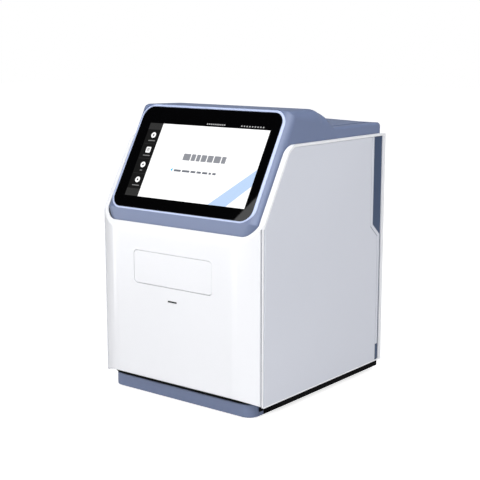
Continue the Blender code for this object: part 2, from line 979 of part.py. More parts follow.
def make_rib(side, name, material):
    """A narrow strip that stands on the stripe along the side cover's rear edge and ends above its foot."""
    top = ledge_top - lip_thickness
    bend = rib_upper_width * (stripe_bend_top - stripe_bend_bottom) / (stripe_lower_y - stripe_upper_y) / 2
    corners = [
        (stripe_lower_y, rib_end_height, 0.0),
        (stripe_lower_y + rib_lower_width, rib_end_height, 0.0),
        (stripe_lower_y + rib_lower_width, stripe_bend_bottom + bend, 0.0),
        (stripe_upper_y + rib_upper_width, stripe_bend_top + bend, 0.0),
        (stripe_upper_y + rib_upper_width, top, 0.0),
        (stripe_upper_y, top, 0.0),
        (stripe_upper_y, stripe_bend_top, 0.0),
        (stripe_lower_y, stripe_bend_bottom, 0.0),
    ]
    face = half_width - rib_sink
    foot = half_width - stripe_recess + seat_gap
    low, high = sorted((side * face, side * foot))
    rib = prism(name, "X", rounded(shrunk(corners, seat_gap)), low, high, material)
    return shade(soften(rib, rib_round, 1))


def make_rear_frame(material):
    frame = body_solid("rear_frame", 0.0, material)
    soften(frame, lip_round, 2, math.radians(50.0))
    reach = half_width + overrun
    front_end = rear_frame_y + seat_gap
    combine(frame, box("front", (-reach, front_y - overrun, 0.0), (reach, front_end, ledge_top + overrun)))
    combine(frame, hood_space(seat_gap))
    opening = rectangle(
        -rear_opening_width / 2,
        rear_opening_bottom,
        rear_opening_width / 2,
        rear_opening_top,
        rear_opening_radius,
    )
    combine(frame, prism("opening", "Y", rounded(opening), rear_frame_y - overrun, rear_y + overrun))
    return shade(frame)


# Drawer


def make_drawer_front(material):
    door = prism("drawer_front", "Y", rounded(door_corners(0.0)), front_y, front_y + door_thickness, material)
    return shade(soften(door, panel_edge_round / 2, 1))


def rack_cutters():
    """The gaps between the rack's teeth, which lie across a line under the tray's left runner."""
    pitch = math.pi * gear_module
    root = rack_pitch_height + dedendum_factor * gear_module
    tip = rack_pitch_height - gear_module
    narrow = pitch / 4 - dedendum_factor * gear_module * math.tan(pressure_angle) + gear_backlash / 4
    lean = (root - tip + overrun) * math.tan(pressure_angle)
    first = math.ceil((tray_front_y + rack_front_margin - pinion_y) / pitch)
    last = math.floor((tray_rear_y - rack_rear_margin - pinion_y) / pitch)
    outer = tray_half_width + overrun
    inner = tray_half_width - runner_width - overrun
    for index in range(first, last + 1):
        middle = pinion_y + index * pitch
        outline = [
            (middle - narrow, root),
            (middle - narrow - lean, tip - overrun),
            (middle + narrow + lean, tip - overrun),
            (middle + narrow, root),
        ]
        yield prism("gap", "X", outline, -outer, -inner)


def make_drawer_tray(material):
    plan = rectangle(-tray_half_width, tray_front_y, tray_half_width, tray_rear_y, tray_radius)
    tray = prism("drawer_tray", "Z", rounded(plan), tray_floor, tray_top, material)
    tongue = tray_half_width + tongue_reach
    tongues = box(
        "tongues",
        (-tongue, tray_front_y + tray_radius, tongue_bottom),
        (tongue, tray_rear_y - tray_radius, tongue_bottom + tongue_height),
    )
    combine(tray, tongues, "UNION")
    bottom = rack_pitch_height - gear_module
    for side in (-1, 1):
        low, high = sorted((side * tray_half_width, side * (tray_half_width - runner_width)))
        lowest = bottom if side < 0 else tray_floor - 2 * gear_module
        start = tray_front_y + tray_radius
        runner = box("runner", (low, start, lowest), (high, tray_rear_y - tray_radius, tray_floor + seat_gap))
        combine(tray, runner, "UNION")
    pocket = prism(
        "pocket", "Z", circle(0.0, disc_centre_y, disc_pocket_radius, 48), disc_pocket_floor, tray_top + overrun
    )
    combine(tray, pocket)
    hole = prism(
        "hole", "Z", circle(0.0, disc_centre_y, hub_hole_radius), tray_floor - overrun, disc_pocket_floor + overrun
    )
    combine(tray, hole)
    for cutter in rack_cutters():
        combine(tray, cutter)
    return shade(tray)


def make_spindle_motor(material):
    top = tray_floor - seat_gap
    bottom = top - spindle_motor_height
    boss = top + spindle_boss_height
    profile = [
        (spindle_motor_radius - panel_edge_round, bottom),
        (spindle_motor_radius, bottom + panel_edge_round),
        (spindle_motor_radius, top),
        (spindle_boss_radius, top),
        (spindle_boss_radius, boss),
    ]
    motor = turned("spindle_motor", profile, material)
    motor.location = (0.0, disc_centre_y, 0.0)
    return shade(motor)


def make_disc_hub(material):
    """The hub that carries the reagent disc: a flange, a nose and a driving key."""
    base = tray_floor - seat_gap + spindle_boss_height + seat_gap
    flange = base + hub_flange_height
    nose = flange + hub_nose_height
    profile = [
        (hub_radius, base),
        (hub_radius, flange),
        (hub_nose_radius, flange),
        (hub_nose_radius, nose - panel_edge_round),
        (hub_nose_radius - panel_edge_round, nose),
    ]
    hub = turned("disc_hub", profile, material, 24)
    key = box(
        "key",
        (hub_nose_radius - hub_key_width / 2, -hub_key_width / 2, flange - seat_gap),
        (hub_nose_radius + hub_key_length, hub_key_width / 2, nose - panel_edge_round),
    )
    combine(hub, key, "UNION")
    hub.location = (0.0, disc_centre_y, 0.0)
    return shade(hub)


def gear_outline(teeth, sides_per_flank=3):
    """An involute gear's outline about the origin, thinned by half the backlash."""
    pitch = gear_module * teeth / 2
    base = pitch * math.cos(pressure_angle)
    tip = pitch + gear_module * (2 - dedendum_factor)
    root = pitch - gear_module * dedendum_factor
    half_tooth = math.pi / 2 / teeth - gear_backlash / 4 / pitch
    at_pitch = math.tan(pressure_angle) - pressure_angle
    flank = []
    start = max(base, root)
    for step in range(sides_per_flank + 1):
        radius = start + (tip - start) * step / sides_per_flank
        roll = math.acos(min(base / radius, 1.0))
        flank.append((radius, half_tooth + at_pitch - (math.tan(roll) - roll)))
    outline = []
    for tooth in range(teeth):
        middle = 2 * math.pi * tooth / teeth
        near = flank[0][1]
        outline.append((root, middle - near))
        outline += [(radius, middle - offset) for radius, offset in flank]
        outline += [(radius, middle + offset) for radius, offset in reversed(flank)]
        outline.append((root, middle + near))
    return [Vector((radius * math.cos(angle), radius * math.sin(angle))) for radius, angle in outline]


def make_drawer_pinion(material):
    """A tooth points straight up into a gap of the rack."""
    outline = [Vector((-point.y, point.x)) for point in gear_outline(pinion_teeth)]
    centre = -tray_half_width + runner_width / 2
    low = centre - pinion_width / 2
    pinion = prism("drawer_pinion", "X", outline, low, low + pinion_width, material)
    bore = prism("bore", "X", circle(0.0, 0.0, pinion_bore_radius, 16), low - overrun, low + pinion_width + overrun)
    combine(pinion, bore)
    pinion.location = (0.0, pinion_y, pinion_z)
    return place_origin_x(pinion, centre)


def place_origin_x(target, x):
    """Brings a turning piece's origin to its own middle along X."""
    for vert in target.data.vertices:
        vert.co.x -= x
    target.location.x += x
    return target


def make_drawer_motor(material):
    """A small gear motor: a gearbox block, a flattened can and a shaft into the pinion."""
    face = -tray_half_width + runner_width / 2 + pinion_width / 2 + slide_gap
    half = gearmotor_width / 2
    half_depth_here = gearmotor_depth / 2
    motor = box(
        "drawer_motor",
        (face, pinion_y - half_depth_here, pinion_z - half),
        (face + gearmotor_box_length, pinion_y + half_depth_here, pinion_z + half),
        material,
    )
    can_corners = rectangle(
        pinion_y - half_depth_here + panel_edge_round,
        pinion_z - half + panel_edge_round,
        pinion_y + half_depth_here - panel_edge_round,
        pinion_z + half - panel_edge_round,
        half - 2 * panel_edge_round,
    )
    can_start = face + gearmotor_box_length - seat_gap
    combine(motor, prism("can", "X", rounded(can_corners, 5), can_start, can_start + gearmotor_can_length), "UNION")
    shaft_end = -tray_half_width
    shaft = prism("shaft", "X", circle(pinion_y, pinion_z, motor_shaft_radius, 16), shaft_end, face + seat_gap)
    combine(motor, shaft, "UNION")
    return shade(motor)


def make_rail(side, name, material):
    """A runner block with a groove for the tray's tongue."""
    inner = tray_half_width + slide_gap
    outer = upright_x - seat_gap
    low, high = sorted((side * inner, side * outer))
    rear = rail_start_y + rail_length
    rail = box(name, (low, rail_start_y, rail_bottom), (high, rear, rail_top), material)
    groove_reach = tray_half_width + tongue_reach + slide_gap
    low, high = sorted((side * (inner - overrun), side * groove_reach))
    groove = box(
        "groove",
        (low, rail_start_y - overrun, tongue_bottom - seat_gap),
        (high, rear + overrun, tongue_bottom + tongue_height + seat_gap),
    )
    return combine(rail, groove)


def make_status_window(material):
    return prism(
        "status_window",
        "Y",
        rounded(status_corners(0.0)),
        front_y + status_gap,
        front_y + shell_wall,
        material,
    )


# Base, chassis and what stands on it


def base_solid(name, material):
    """The whole base tray, open at the top, with pockets for the feet."""
    corners = [
        (-plinth_width / 2, plinth_front_y, plinth_radius),
        (plinth_width / 2, plinth_front_y, plinth_radius),
        (plinth_width / 2, plinth_rear_y, plinth_rear_radius),
        (-plinth_width / 2, plinth_rear_y, plinth_rear_radius),
    ]
    base = prism(name, "Z", rounded(corners, 6), plinth_lift, base_top, material)
    inside = rounded(shrunk(corners, plinth_wall), 6)
    combine(base, prism("inside", "Z", inside, plinth_lift + plinth_floor, base_top + overrun))
    for x, y in foot_places():
        pocket = circle(x, y, foot_radius + seat_gap, 24)
        combine(base, prism("pocket", "Z", pocket, -overrun, plinth_lift + foot_pocket_depth))
    return base


def foot_places():
    return [(x, y) for y in (foot_front_y, foot_rear_y) for x in (-foot_x, foot_x)]


def make_plinth(material):
    plinth = base_solid("plinth", material)
    reach = plinth_width / 2 + overrun
    low = (-reach, plinth_split_y - seat_gap / 2, -overrun)
    combine(plinth, box("rear", low, (reach, plinth_rear_y + overrun, base_top + overrun)))
    return shade(plinth)


def make_base_pan(material):
    pan = base_solid("base_pan", material)
    reach = plinth_width / 2 + overrun
    high = (reach, plinth_split_y + seat_gap / 2, base_top + overrun)
    combine(pan, box("front", (-reach, plinth_front_y - overrun, -overrun), high))
    return shade(pan)


def make_foot(number, x, y, material):
    profile = [
        (foot_radius - panel_edge_round, 0.0),
        (foot_radius, panel_edge_round),
        (foot_radius, foot_height),
    ]
    foot = turned("foot_" + str(number), profile, material, 24)
    foot.location = (x, y, 0.0)
    return shade(foot)


def make_chassis(material):
    half = half_width - shell_wall - seat_gap
    outline = rounded(rectangle(-half, chassis_front_y, half, chassis_rear_y, chassis_radius), 3)
    return prism("chassis", "Z", outline, chassis_bottom, chassis_top, material)


def make_upright(side, name, material):
    """A folded steel side of the drawer frame, with a foot flange."""
    inner = side * upright_x
    outer = side * (upright_x + upright_thickness)
    foot = chassis_top + seat_gap
    low, high = sorted((inner, outer))
    upright = box(name, (low, upright_front_y, foot), (high, upright_rear_y, upright_top), material)
    low, high = sorted((outer - side * seat_gap, outer + side * upright_flange))
    flange = box("flange", (low, upright_front_y, foot), (high, upright_rear_y, foot + upright_thickness))
    combine(upright, flange, "UNION")
    if side < 0:
        add_motor_shelf(upright)
    else:
        add_standoffs(upright)
    return shade(upright)


def add_motor_shelf(upright):
    """A tab under the pinion and a pad that carries the drawer motor."""
    face = -tray_half_width + runner_width / 2 + pinion_width / 2 + slide_gap
    end = face + gearmotor_box_length + gearmotor_can_length
    shelf = box(
        "shelf",
        (-upright_x - seat_gap, pinion_y - motor_shelf_width / 2, shelf_top - motor_shelf_thickness),
        (end, pinion_y + motor_shelf_width / 2, shelf_top),
    )
    combine(upright, shelf, "UNION")
    pad = box(
        "pad",
        (face + slide_gap, pinion_y - gearmotor_depth / 2, shelf_top - seat_gap),
        (end, pinion_y + gearmotor_depth / 2, pinion_z - gearmotor_width / 2 - seat_gap),
    )
    combine(upright, pad, "UNION")


def standoff_places():
    for y in (board_front_y + standoff_inset, board_front_y + board_width - standoff_inset):
        for z in (board_bottom + standoff_inset, board_bottom + board_height - standoff_inset):
            yield y, z


def add_standoffs(upright):
    start = upright_x + upright_thickness - seat_gap
    end = upright_x + upright_thickness + standoff_length
    for y, z in standoff_places():
        combine(upright, prism("standoff", "X", circle(y, z, standoff_radius, 12), start, end), "UNION")


def make_top_plate(material):
    half = upright_x + upright_thickness
    low = (-half, upright_front_y, upright_top + seat_gap)
    plate = box("top_plate", low, (half, upright_rear_y, upright_top + seat_gap + bridge_thickness), material)
    hole = circle(0.0, optics_y, lens_hole_radius, 20)
    high = upright_top + bridge_thickness + overrun
    return combine(plate, prism("hole", "Z", hole, upright_top - overrun, high))


def make_heater_plate(material):
    top = upright_top
    outline = circle(0.0, disc_centre_y, heater_radius, 48)
    plate = prism("heater_plate", "Z", outline, top - heater_thickness, top, material)
    hole = circle(0.0, optics_y, lens_hole_radius, 20)
    return shade(combine(plate, prism("hole", "Z", hole, top - heater_thickness - overrun, top + overrun)))


def make_optics_block(material):
    base = upright_top + bridge_thickness + 2 * seat_gap
    block = box(
        "optics_block",
        (-optics_width / 2, optics_y - optics_depth / 2, base),
        (optics_width / 2, optics_y + optics_depth / 2, base + optics_height),
        material,
    )
    soften(block, optics_edge, 1)
    lens = prism("lens", "Z", circle(0.0, optics_y, lens_radius, 20), base - lens_drop, base + optics_edge)
    return shade(combine(block, lens, "UNION"))


def make_lamp_housing(material):
    """A finned lamp barrel against the photometer's side."""
    pitch = lamp_length / lamp_fin_count
    profile = [(lamp_radius, 0.0)]
    for fin in range(lamp_fin_count):
        low = (fin + (1 - lamp_fin_share) / 2) * pitch
        high = low + lamp_fin_share * pitch
        profile += [(lamp_radius, low), (lamp_fin_radius, low), (lamp_fin_radius, high), (lamp_radius, high)]
    profile.append((lamp_radius, lamp_length))
    lamp = turned("lamp_housing", profile, material, 24)
    height = upright_top + bridge_thickness + 2 * seat_gap + optics_height / 2
    return shade(lay_on_axis(lamp, "X", (optics_width / 2 + seat_gap, optics_y, height)))


def make_main_board(material):
    """A board with its larger chips and connectors, in shares of the board from its front lower corner."""
    chip_shares = [
        (0.12, 0.62, 0.30, 0.84),
        (0.42, 0.50, 0.62, 0.72),
        (0.70, 0.66, 0.90, 0.78),
        (0.14, 0.20, 0.36, 0.30),
        (0.52, 0.16, 0.86, 0.26),
    ]
    face = upright_x + upright_thickness + standoff_length + seat_gap
    back = face + board_thickness
    board = box(
        "main_board",
        (face, board_front_y, board_bottom),
        (back, board_front_y + board_width, board_bottom + board_height),
        material,
    )
    for left, low, right, high in chip_shares:
        chip = box(
            "chip",
            (back - chip_sink, board_front_y + left * board_width, board_bottom + low * board_height),
            (back + chip_height, board_front_y + right * board_width, board_bottom + high * board_height),
        )
        combine(board, chip, "UNION")
    return board


def make_power_supply(material):
    base = chassis_top + seat_gap
    front = supply_rear_y - supply_depth
    case = box(
        "power_supply",
        (-supply_width / 2, front, base),
        (supply_width / 2, supply_rear_y, base + supply_height),
        material,
    )
    soften(case, supply_edge, 1)
    pitch = supply_width / (supply_slot_count + 1)
    for index in range(supply_slot_count):
        middle = -supply_width / 2 + (index + 1) * pitch
        slot = box(
            "slot",
            (middle - supply_slot_width / 2, front + supply_depth / 4, base + supply_height - supply_slot_depth),
            (middle + supply_slot_width / 2, supply_rear_y - supply_depth / 4, base + supply_height + overrun),
        )
        combine(case, slot)
    return case


# Rear plate, fan and sockets


def make_rear_panel(material):
    """A plate in the rear frame's opening, with fan slots, a vent field and cut-outs for the sockets."""
    corners = rectangle(
        -rear_opening_width / 2,
        rear_opening_bottom,
        rear_opening_width / 2,
        rear_opening_top,
        rear_opening_radius,
    )
    panel = prism(
        "rear_panel",
        "Y",
        rounded(shrunk(corners, seat_gap)),
        rear_panel_y - rear_panel_thickness,
        rear_panel_y,
        material,
    )
    through = (rear_panel_y - rear_panel_thickness - overrun, rear_panel_y + overrun)
    for row in range(grille_rows):
        height = fan_z + (row - (grille_rows - 1) / 2) * grille_slot_pitch
        half = math.sqrt(max(fan_bore_radius**2 - (height - fan_z) ** 2, 0.0)) - grille_slot_width / 2
        slot = rectangle(
            fan_x - half, height - grille_slot_width / 2, fan_x + half, height + grille_slot_width / 2, 0.0
        )
        combine(panel, prism("slot", "Y", rounded(slot), *through))
    for row in range(vent_row_count):
        height = vent_top - row * grille_slot_pitch
        slot = rectangle(
            -vent_length / 2, height - grille_slot_width / 2, vent_length / 2, height + grille_slot_width / 2, 0.0
        )
        combine(panel, prism("slot", "Y", rounded(slot), *through))
    for x, width, height in (
        (inlet_x, inlet_width, inlet_height),
        (switch_x, switch_width, switch_height),
        (port_x, port_block_width, port_block_height),
    ):
        cut = rectangle(
            x - width / 2 - seat_gap,
            connector_z - height / 2 - seat_gap,
            x + width / 2 + seat_gap,
            connector_z + height / 2 + seat_gap,
            0.0,
        )
        combine(panel, prism("cut", "Y", rounded(cut), *through))
    return panel


def make_fan_frame(material):
    """A square fan frame with a round bore and a motor seat on struts, on the plate's inner side."""
    rear = rear_panel_y - rear_panel_thickness - seat_gap
    front = rear - fan_depth
    half = fan_size / 2
    outline = rounded(rectangle(fan_x - half, fan_z - half, fan_x + half, fan_z + half, fan_corner), 3)
    frame = prism("fan_frame", "Y", outline, front, rear, material)
    combine(frame, prism("bore", "Y", circle(fan_x, fan_z, fan_bore_radius), front - overrun, rear + overrun))
    seat = prism("seat", "Y", circle(fan_x, fan_z, fan_hub_radius, 24), rear - fan_seat_depth, rear)
    for index in range(fan_strut_count):
        angle = 2 * math.pi * index / fan_strut_count + math.pi / 2
        along = Vector((math.cos(angle), math.sin(angle)))
        across = Vector((-along.y, along.x)) * fan_strut_width / 2
        start = Vector((fan_x, fan_z)) + along * fan_hub_radius / 2
        end = Vector((fan_x, fan_z)) + along * (fan_bore_radius + overrun / 4)
        strut = [start - across, end - across, end + across, start + across]
        combine(seat, prism("strut", "Y", strut, rear - fan_seat_depth, rear), "UNION")
    combine(frame, seat, "UNION")
    return shade(frame)


def make_fan_rotor(material):
    """A hub with pitched blades, made about Z and laid along Y."""
    height = fan_depth - fan_seat_depth - 2 * slide_gap
    profile = [
        (fan_hub_radius, 0.0),
        (fan_hub_radius, height - panel_edge_round),
        (fan_hub_radius - panel_edge_round, height),
    ]
    rotor = turned("fan_rotor", profile, material, 24)
    chord = (height - 2 * slide_gap) / math.cos(fan_blade_pitch)
    for index in range(fan_blade_count):
        angle = 2 * math.pi * index / fan_blade_count
        radial = Vector((math.cos(angle), math.sin(angle), 0.0))
        around = Vector((-math.sin(angle), math.cos(angle), 0.0))
        up = Vector((0.0, 0.0, 1.0))
        along = up * math.cos(fan_blade_pitch) + around * math.sin(fan_blade_pitch)
        across = around * math.cos(fan_blade_pitch) - up * math.sin(fan_blade_pitch)
        centre = up * height / 2
        verts = []
        for radius, chord_share in ((fan_hub_radius - overrun, fan_root_chord_share), (fan_blade_radius, 1.0)):
            for a, b in ((-1, -1), (1, -1), (1, 1), (-1, 1)):
                half_chord = chord / 2 * chord_share - fan_blade_thickness
                here = centre + radial * radius + along * a * half_chord + across * b * fan_blade_thickness / 2
                verts.append(here)
        faces = [(0, 1, 2, 3), (4, 5, 6, 7), (0, 1, 5, 4), (1, 2, 6, 5), (2, 3, 7, 6), (3, 0, 4, 7)]
        combine(rotor, object_from("blade", verts, faces, None), "UNION")
    front = rear_panel_y - rear_panel_thickness - seat_gap - fan_depth + slide_gap
    lay_on_axis(rotor, "Y", (fan_x, front, fan_z))
    return shade(rotor)


def make_mains_inlet(material):
    """A panel inlet with a flange, a socket and three blades."""
    outer = rear_panel_y + inlet_flange_thickness + seat_gap
    flange = rectangle(
        inlet_x - inlet_width / 2 - inlet_flange,
        connector_z - inlet_height / 2 - inlet_flange,
        inlet_x + inlet_width / 2 + inlet_flange,
        connector_z + inlet_height / 2 + inlet_flange,
        inlet_flange,
    )
    inlet = prism("mains_inlet", "Y", rounded(flange, 3), rear_panel_y + seat_gap, outer, material)
    body = rectangle(
        inlet_x - inlet_width / 2,
        connector_z - inlet_height / 2,
        inlet_x + inlet_width / 2,
        connector_z + inlet_height / 2,
        0.0,
    )
    combine(inlet, prism("body", "Y", rounded(body), outer - inlet_depth, outer - panel_edge_round), "UNION")
    half = inlet_socket_width / 2
    socket = [
        (inlet_x - half, connector_z - inlet_socket_height / 2, 0.0),
        (inlet_x + half, connector_z - inlet_socket_height / 2, 0.0),
        (inlet_x + half, connector_z + inlet_socket_height / 2 - inlet_socket_radius, 0.0),
        (inlet_x + half - inlet_socket_radius, connector_z + inlet_socket_height / 2, 0.0),
        (inlet_x - half + inlet_socket_radius, connector_z + inlet_socket_height / 2, 0.0),
        (inlet_x - half, connector_z + inlet_socket_height / 2 - inlet_socket_radius, 0.0),
    ]
    floor = outer - inlet_socket_depth
    combine(inlet, prism("socket", "Y", rounded(socket), floor, outer + overrun))
    for x, lift in ((-inlet_pin_spread, -inlet_pin_lift), (inlet_pin_spread, -inlet_pin_lift), (0.0, inlet_pin_lift)):
        low = (inlet_x + x - inlet_pin_width / 2, floor - seat_gap, connector_z + lift - inlet_pin_height / 2)
        high = (
            inlet_x + x + inlet_pin_width / 2,
            floor + inlet_pin_length,
            connector_z + lift + inlet_pin_height / 2,
        )
        combine(inlet, box("blade", low, high), "UNION")
    return inlet


def make_switch_frame(material):
    outer = rear_panel_y + inlet_flange_thickness + seat_gap
    flange = rectangle(
        switch_x - switch_width / 2 - inlet_flange / 2,
        connector_z - switch_height / 2 - inlet_flange / 2,
        switch_x + switch_width / 2 + inlet_flange / 2,
        connector_z + switch_height / 2 + inlet_flange / 2,
        inlet_flange / 2,
    )
    frame = prism("switch_frame", "Y", rounded(flange, 3), rear_panel_y + seat_gap, outer, material)
    body = rectangle(
        switch_x - switch_width / 2,
        connector_z - switch_height / 2,
        switch_x + switch_width / 2,
        connector_z + switch_height / 2,
        0.0,
    )
    combine(frame, prism("body", "Y", rounded(body), outer - switch_depth, outer - panel_edge_round), "UNION")
    well = rectangle(
        switch_x - switch_well_width / 2,
        connector_z - switch_well_height / 2,
        switch_x + switch_well_width / 2,
        connector_z + switch_well_height / 2,
        0.0,
    )
    combine(frame, prism("well", "Y", rounded(well), outer - switch_well_depth, outer + overrun))
    return frame


def make_power_rocker(material):
    """The rocker in its off position, its origin on its pivot, with a shallow vee across its face."""
    half = rocker_height / 2
    lift = half * math.sin(rocker_tilt)
    outline = [
        (-rocker_depth / 2, -half + rocker_depth / 3),
        (-rocker_depth / 2 + rocker_depth / 6, -half / 3),
        (-rocker_depth / 2 + rocker_depth / 6, half / 3),
        (-rocker_depth / 2, half - rocker_depth / 3),
        (rocker_depth / 2 - lift, half),
        (rocker_depth / 2 - lift - lift / 2, 0.0),
        (rocker_depth / 2 - lift, -half),
    ]
    rocker = prism("power_rocker", "X", outline, -rocker_width / 2, rocker_width / 2, material)
    outer = rear_panel_y + inlet_flange_thickness + seat_gap
    rocker.location = (switch_x, outer - rocker_depth / 2, connector_z)
    rocker.rotation_euler = (rocker_tilt, 0.0, 0.0)
    return rocker


def make_port_block(material):
    """Two data sockets and a network socket in one block behind the rear plate."""
    outer = rear_panel_y
    low = (port_x - port_block_width / 2, outer - port_block_depth, connector_z - port_block_height / 2)
    high = (port_x + port_block_width / 2, outer, connector_z + port_block_height / 2)
    block = box("port_block", low, high, material)
    for x, width, height in socket_places():
        socket = rectangle(
            x - width / 2, connector_z - height / 2, x + width / 2, connector_z + height / 2, 0.0
        )
        combine(block, prism("socket", "Y", rounded(socket), outer - port_depth, outer + overrun))
    return block


def socket_places():
    return [
        (port_x - usb_spread, usb_width, usb_height),
        (port_x, usb_width, usb_height),
        (port_x + usb_spread, lan_width, lan_height),
    ]


# Printer


def make_printer_lid(material):
    """The lid: a crowned plate with a rim, a barrel along its hinge and two ears for the platen roller."""
    top = lid_axis_z + lid_barrel_radius
    side = [
        (lid_front_y, lid_bottom, 0.0),
        (lid_axis_y, lid_bottom, 0.0),
        (lid_axis_y, top, 0.0),
        (lid_axis_y - lid_barrel_radius, top, 0.0),
        (lid_axis_y - 3 * lid_barrel_radius, top + lid_crown, 0.0),
        (lid_front_y, top + lid_crown, lid_front_corner),
    ]
    lid = prism("printer_lid", "X", rounded(side), -lid_half, lid_half, material)
    crown = [(-lid_half, lid_bottom - overrun), (lid_half, lid_bottom - overrun)]
    steps = 8
    for step in range(steps + 1):
        share = 1 - 2 * step / steps
        crown.append((share * lid_half, top + lid_crown * (1 - share**2)))
    combine(lid, prism("crown", "Y", crown, lid_front_y - overrun, lid_axis_y + overrun), "INTERSECT")
    hollow = box(
        "hollow",
        (-lid_half + lid_plate, lid_front_y + lid_plate, lid_bottom - overrun),
        (lid_half - lid_plate, lid_axis_y - 2 * lid_barrel_radius, top - lid_plate),
    )
    combine(lid, hollow)
    barrel = prism("barrel", "X", circle(lid_axis_y, lid_axis_z, lid_barrel_radius, 24), -lid_half, lid_half)
    combine(lid, barrel, "UNION")
    relief = box(
        "relief",
        (-lid_half - overrun, lid_axis_y, lid_bottom - overrun),
        (lid_half + overrun, lid_axis_y + overrun, lid_axis_z - lid_barrel_radius),
    )
    combine(lid, relief)
    for sign in (-1, 1):
        near = sign * (platen_length / 2 + ear_gap)
        low, high = sorted((near, near + sign * ear_thickness))
        ear = box(
            "ear",
            (low, platen_y - ear_length / 2, platen_z - platen_axle_radius - ear_thickness),
            (high, platen_y + ear_length / 2, top - lid_plate + seat_gap),
        )
        combine(lid, ear, "UNION")
        bore = prism(
            "bore", "X", circle(platen_y, platen_z, platen_axle_radius + seat_gap, 16), low - overrun, high + overrun
        )
        combine(lid, bore)
        inner = sign * (lid_half - lid_pin_reach - seat_gap)
        outer = sign * (lid_half + overrun)
        low, high = sorted((inner, outer))
        combine(lid, prism("pinhole", "X", circle(lid_axis_y, lid_axis_z, lid_pin_bore, 16), low, high))
    return shade(place_origin(lid, (0.0, lid_axis_y, lid_axis_z)))


def make_lid_pin(side, name, material):
    low, high = sorted((side * (lid_half - lid_pin_reach), side * (lid_half + lid_pin_reach)))
    return shade(prism(name, "X", circle(lid_axis_y, lid_axis_z, lid_pin_radius, 16), low, high, material))


def make_platen_roller(material):
    half = platen_length / 2
    axle = half + ear_gap + ear_thickness + platen_axle_reach / 2
    profile = [
        (platen_axle_radius, -axle),
        (platen_axle_radius, -half),
        (platen_radius, -half),
        (platen_radius, half),
        (platen_axle_radius, half),
        (platen_axle_radius, axle),
    ]
    return shade(lay_on_axis(turned("platen_roller", profile, material, 24), "X", (0.0, platen_y, platen_z)))


def make_printer_well(material):
    """A paper bucket with a round bottom, hung by its flange under the deck."""
    inner = [
        (well_front_y + well_wall, well_bottom + well_wall, well_radius),
        (well_rear_y - well_wall, well_bottom + well_wall, well_radius),
        (well_rear_y - well_wall, well_top + overrun, 0.0),
        (well_front_y + well_wall, well_top + overrun, 0.0),
    ]
    outer = [
        (well_front_y, well_bottom, well_radius + well_wall),
        (well_rear_y, well_bottom, well_radius + well_wall),
        (well_rear_y, well_top, 0.0),
        (well_front_y, well_top, 0.0),
    ]
    well = prism("printer_well", "X", rounded(outer, 5), -well_half_width, well_half_width, material)
    flange = box(
        "flange",
        (-well_half_width - well_flange, well_front_y, well_top - well_flange_thickness),
        (well_half_width + well_flange, well_rear_y + well_flange, well_top),
    )
    combine(well, flange, "UNION")
    space = well_half_width - well_wall
    combine(well, prism("space", "X", rounded(inner, 5), -space, space))
    mouth = box(
        "mouth",
        (-space, well_front_y - overrun, platen_z - platen_radius - 2 * ear_thickness),
        (space, well_front_y + 2 * well_wall, well_top + overrun),
    )
    combine(well, mouth)
    notch_half = platen_length / 2 + ear_gap + 2 * ear_thickness + platen_axle_reach
    notch = box(
        "notch",
        (-notch_half, well_front_y - overrun, platen_z - platen_radius - 2 * ear_thickness),
        (notch_half, well_front_y + well_wall, well_top + overrun),
    )
    combine(well, notch)
    return shade(well)


def make_paper_roll(material):
    """A roll of paper on its core, lying in the bottom of the bucket."""
    middle_y = (well_front_y + well_rear_y) / 2
    middle_z = well_bottom + well_wall + seat_gap + paper_radius
    half = paper_width / 2
    roll = prism("paper_roll", "X", circle(middle_y, middle_z, paper_radius), -half, half, material)
    hole = prism("hole", "X", circle(middle_y, middle_z, paper_core_radius, 20), -half - overrun, half + overrun)
    combine(roll, hole)
    return shade(place_origin(roll, (0.0, middle_y, middle_z)))


def make_print_head(material):
    """The thermal head under the platen, with cooling fins towards the front."""
    top = platen_z - platen_radius - seat_gap
    rear = well_front_y - seat_gap
    front = rear - head_depth
    half = head_width / 2
    head = box("print_head", (-half, front, top - head_height), (half, rear, top), material)
    pitch = head_width / head_fin_count
    for fin in range(head_fin_count):
        low = -half + (fin + 1) * pitch - pitch / 2
        slot = box(
            "slot",
            (low, front - overrun, top - head_height - overrun),
            (low + pitch / 2, front + head_fin_depth, top - head_height / 4),
        )
        combine(head, slot)
    return head


def make_tear_bar(material):
    """A thin strip with saw teeth along its upper edge, beside the paper slot."""
    base = lid_floor + seat_gap
    half = tear_bar_width / 2
    pitch = tear_bar_width / tear_bar_teeth
    outline = [(half, base), (-half, base)]
    for tooth in range(tear_bar_teeth):
        left = -half + tooth * pitch
        outline.append((left, base + tear_bar_height))
        outline.append((left + pitch / 2, base + tear_bar_height + tear_tooth_height))
    outline.append((half, base + tear_bar_height))
    return prism("tear_bar", "Y", outline, tear_bar_y, tear_bar_y + tear_bar_thickness, material)


def make_display(glass_material, module_material):
    low = -glass_thickness
    glass = display_plate("display_glass", glass_width, glass_length, glass_radius, low, 0.0, glass_material)
    shade(on_display(glass, glass_sink))
    width = glass_width - 2 * display_window_rim - 2 * seat_gap
    length = glass_length - 2 * display_window_rim - 2 * seat_gap
    top = -glass_thickness - seat_gap
    shoulder = top - display_thickness + display_back_depth
    module = display_plate("display_module", width, length, display_corner, shoulder, top, module_material)
    back = display_plate(
        "back",
        width - 2 * display_back_step,
        length - 2 * display_back_step,
        0.0,
        top - display_thickness,
        shoulder + seat_gap,
    )
    combine(module, back, "UNION")
    on_display(module, glass_sink)


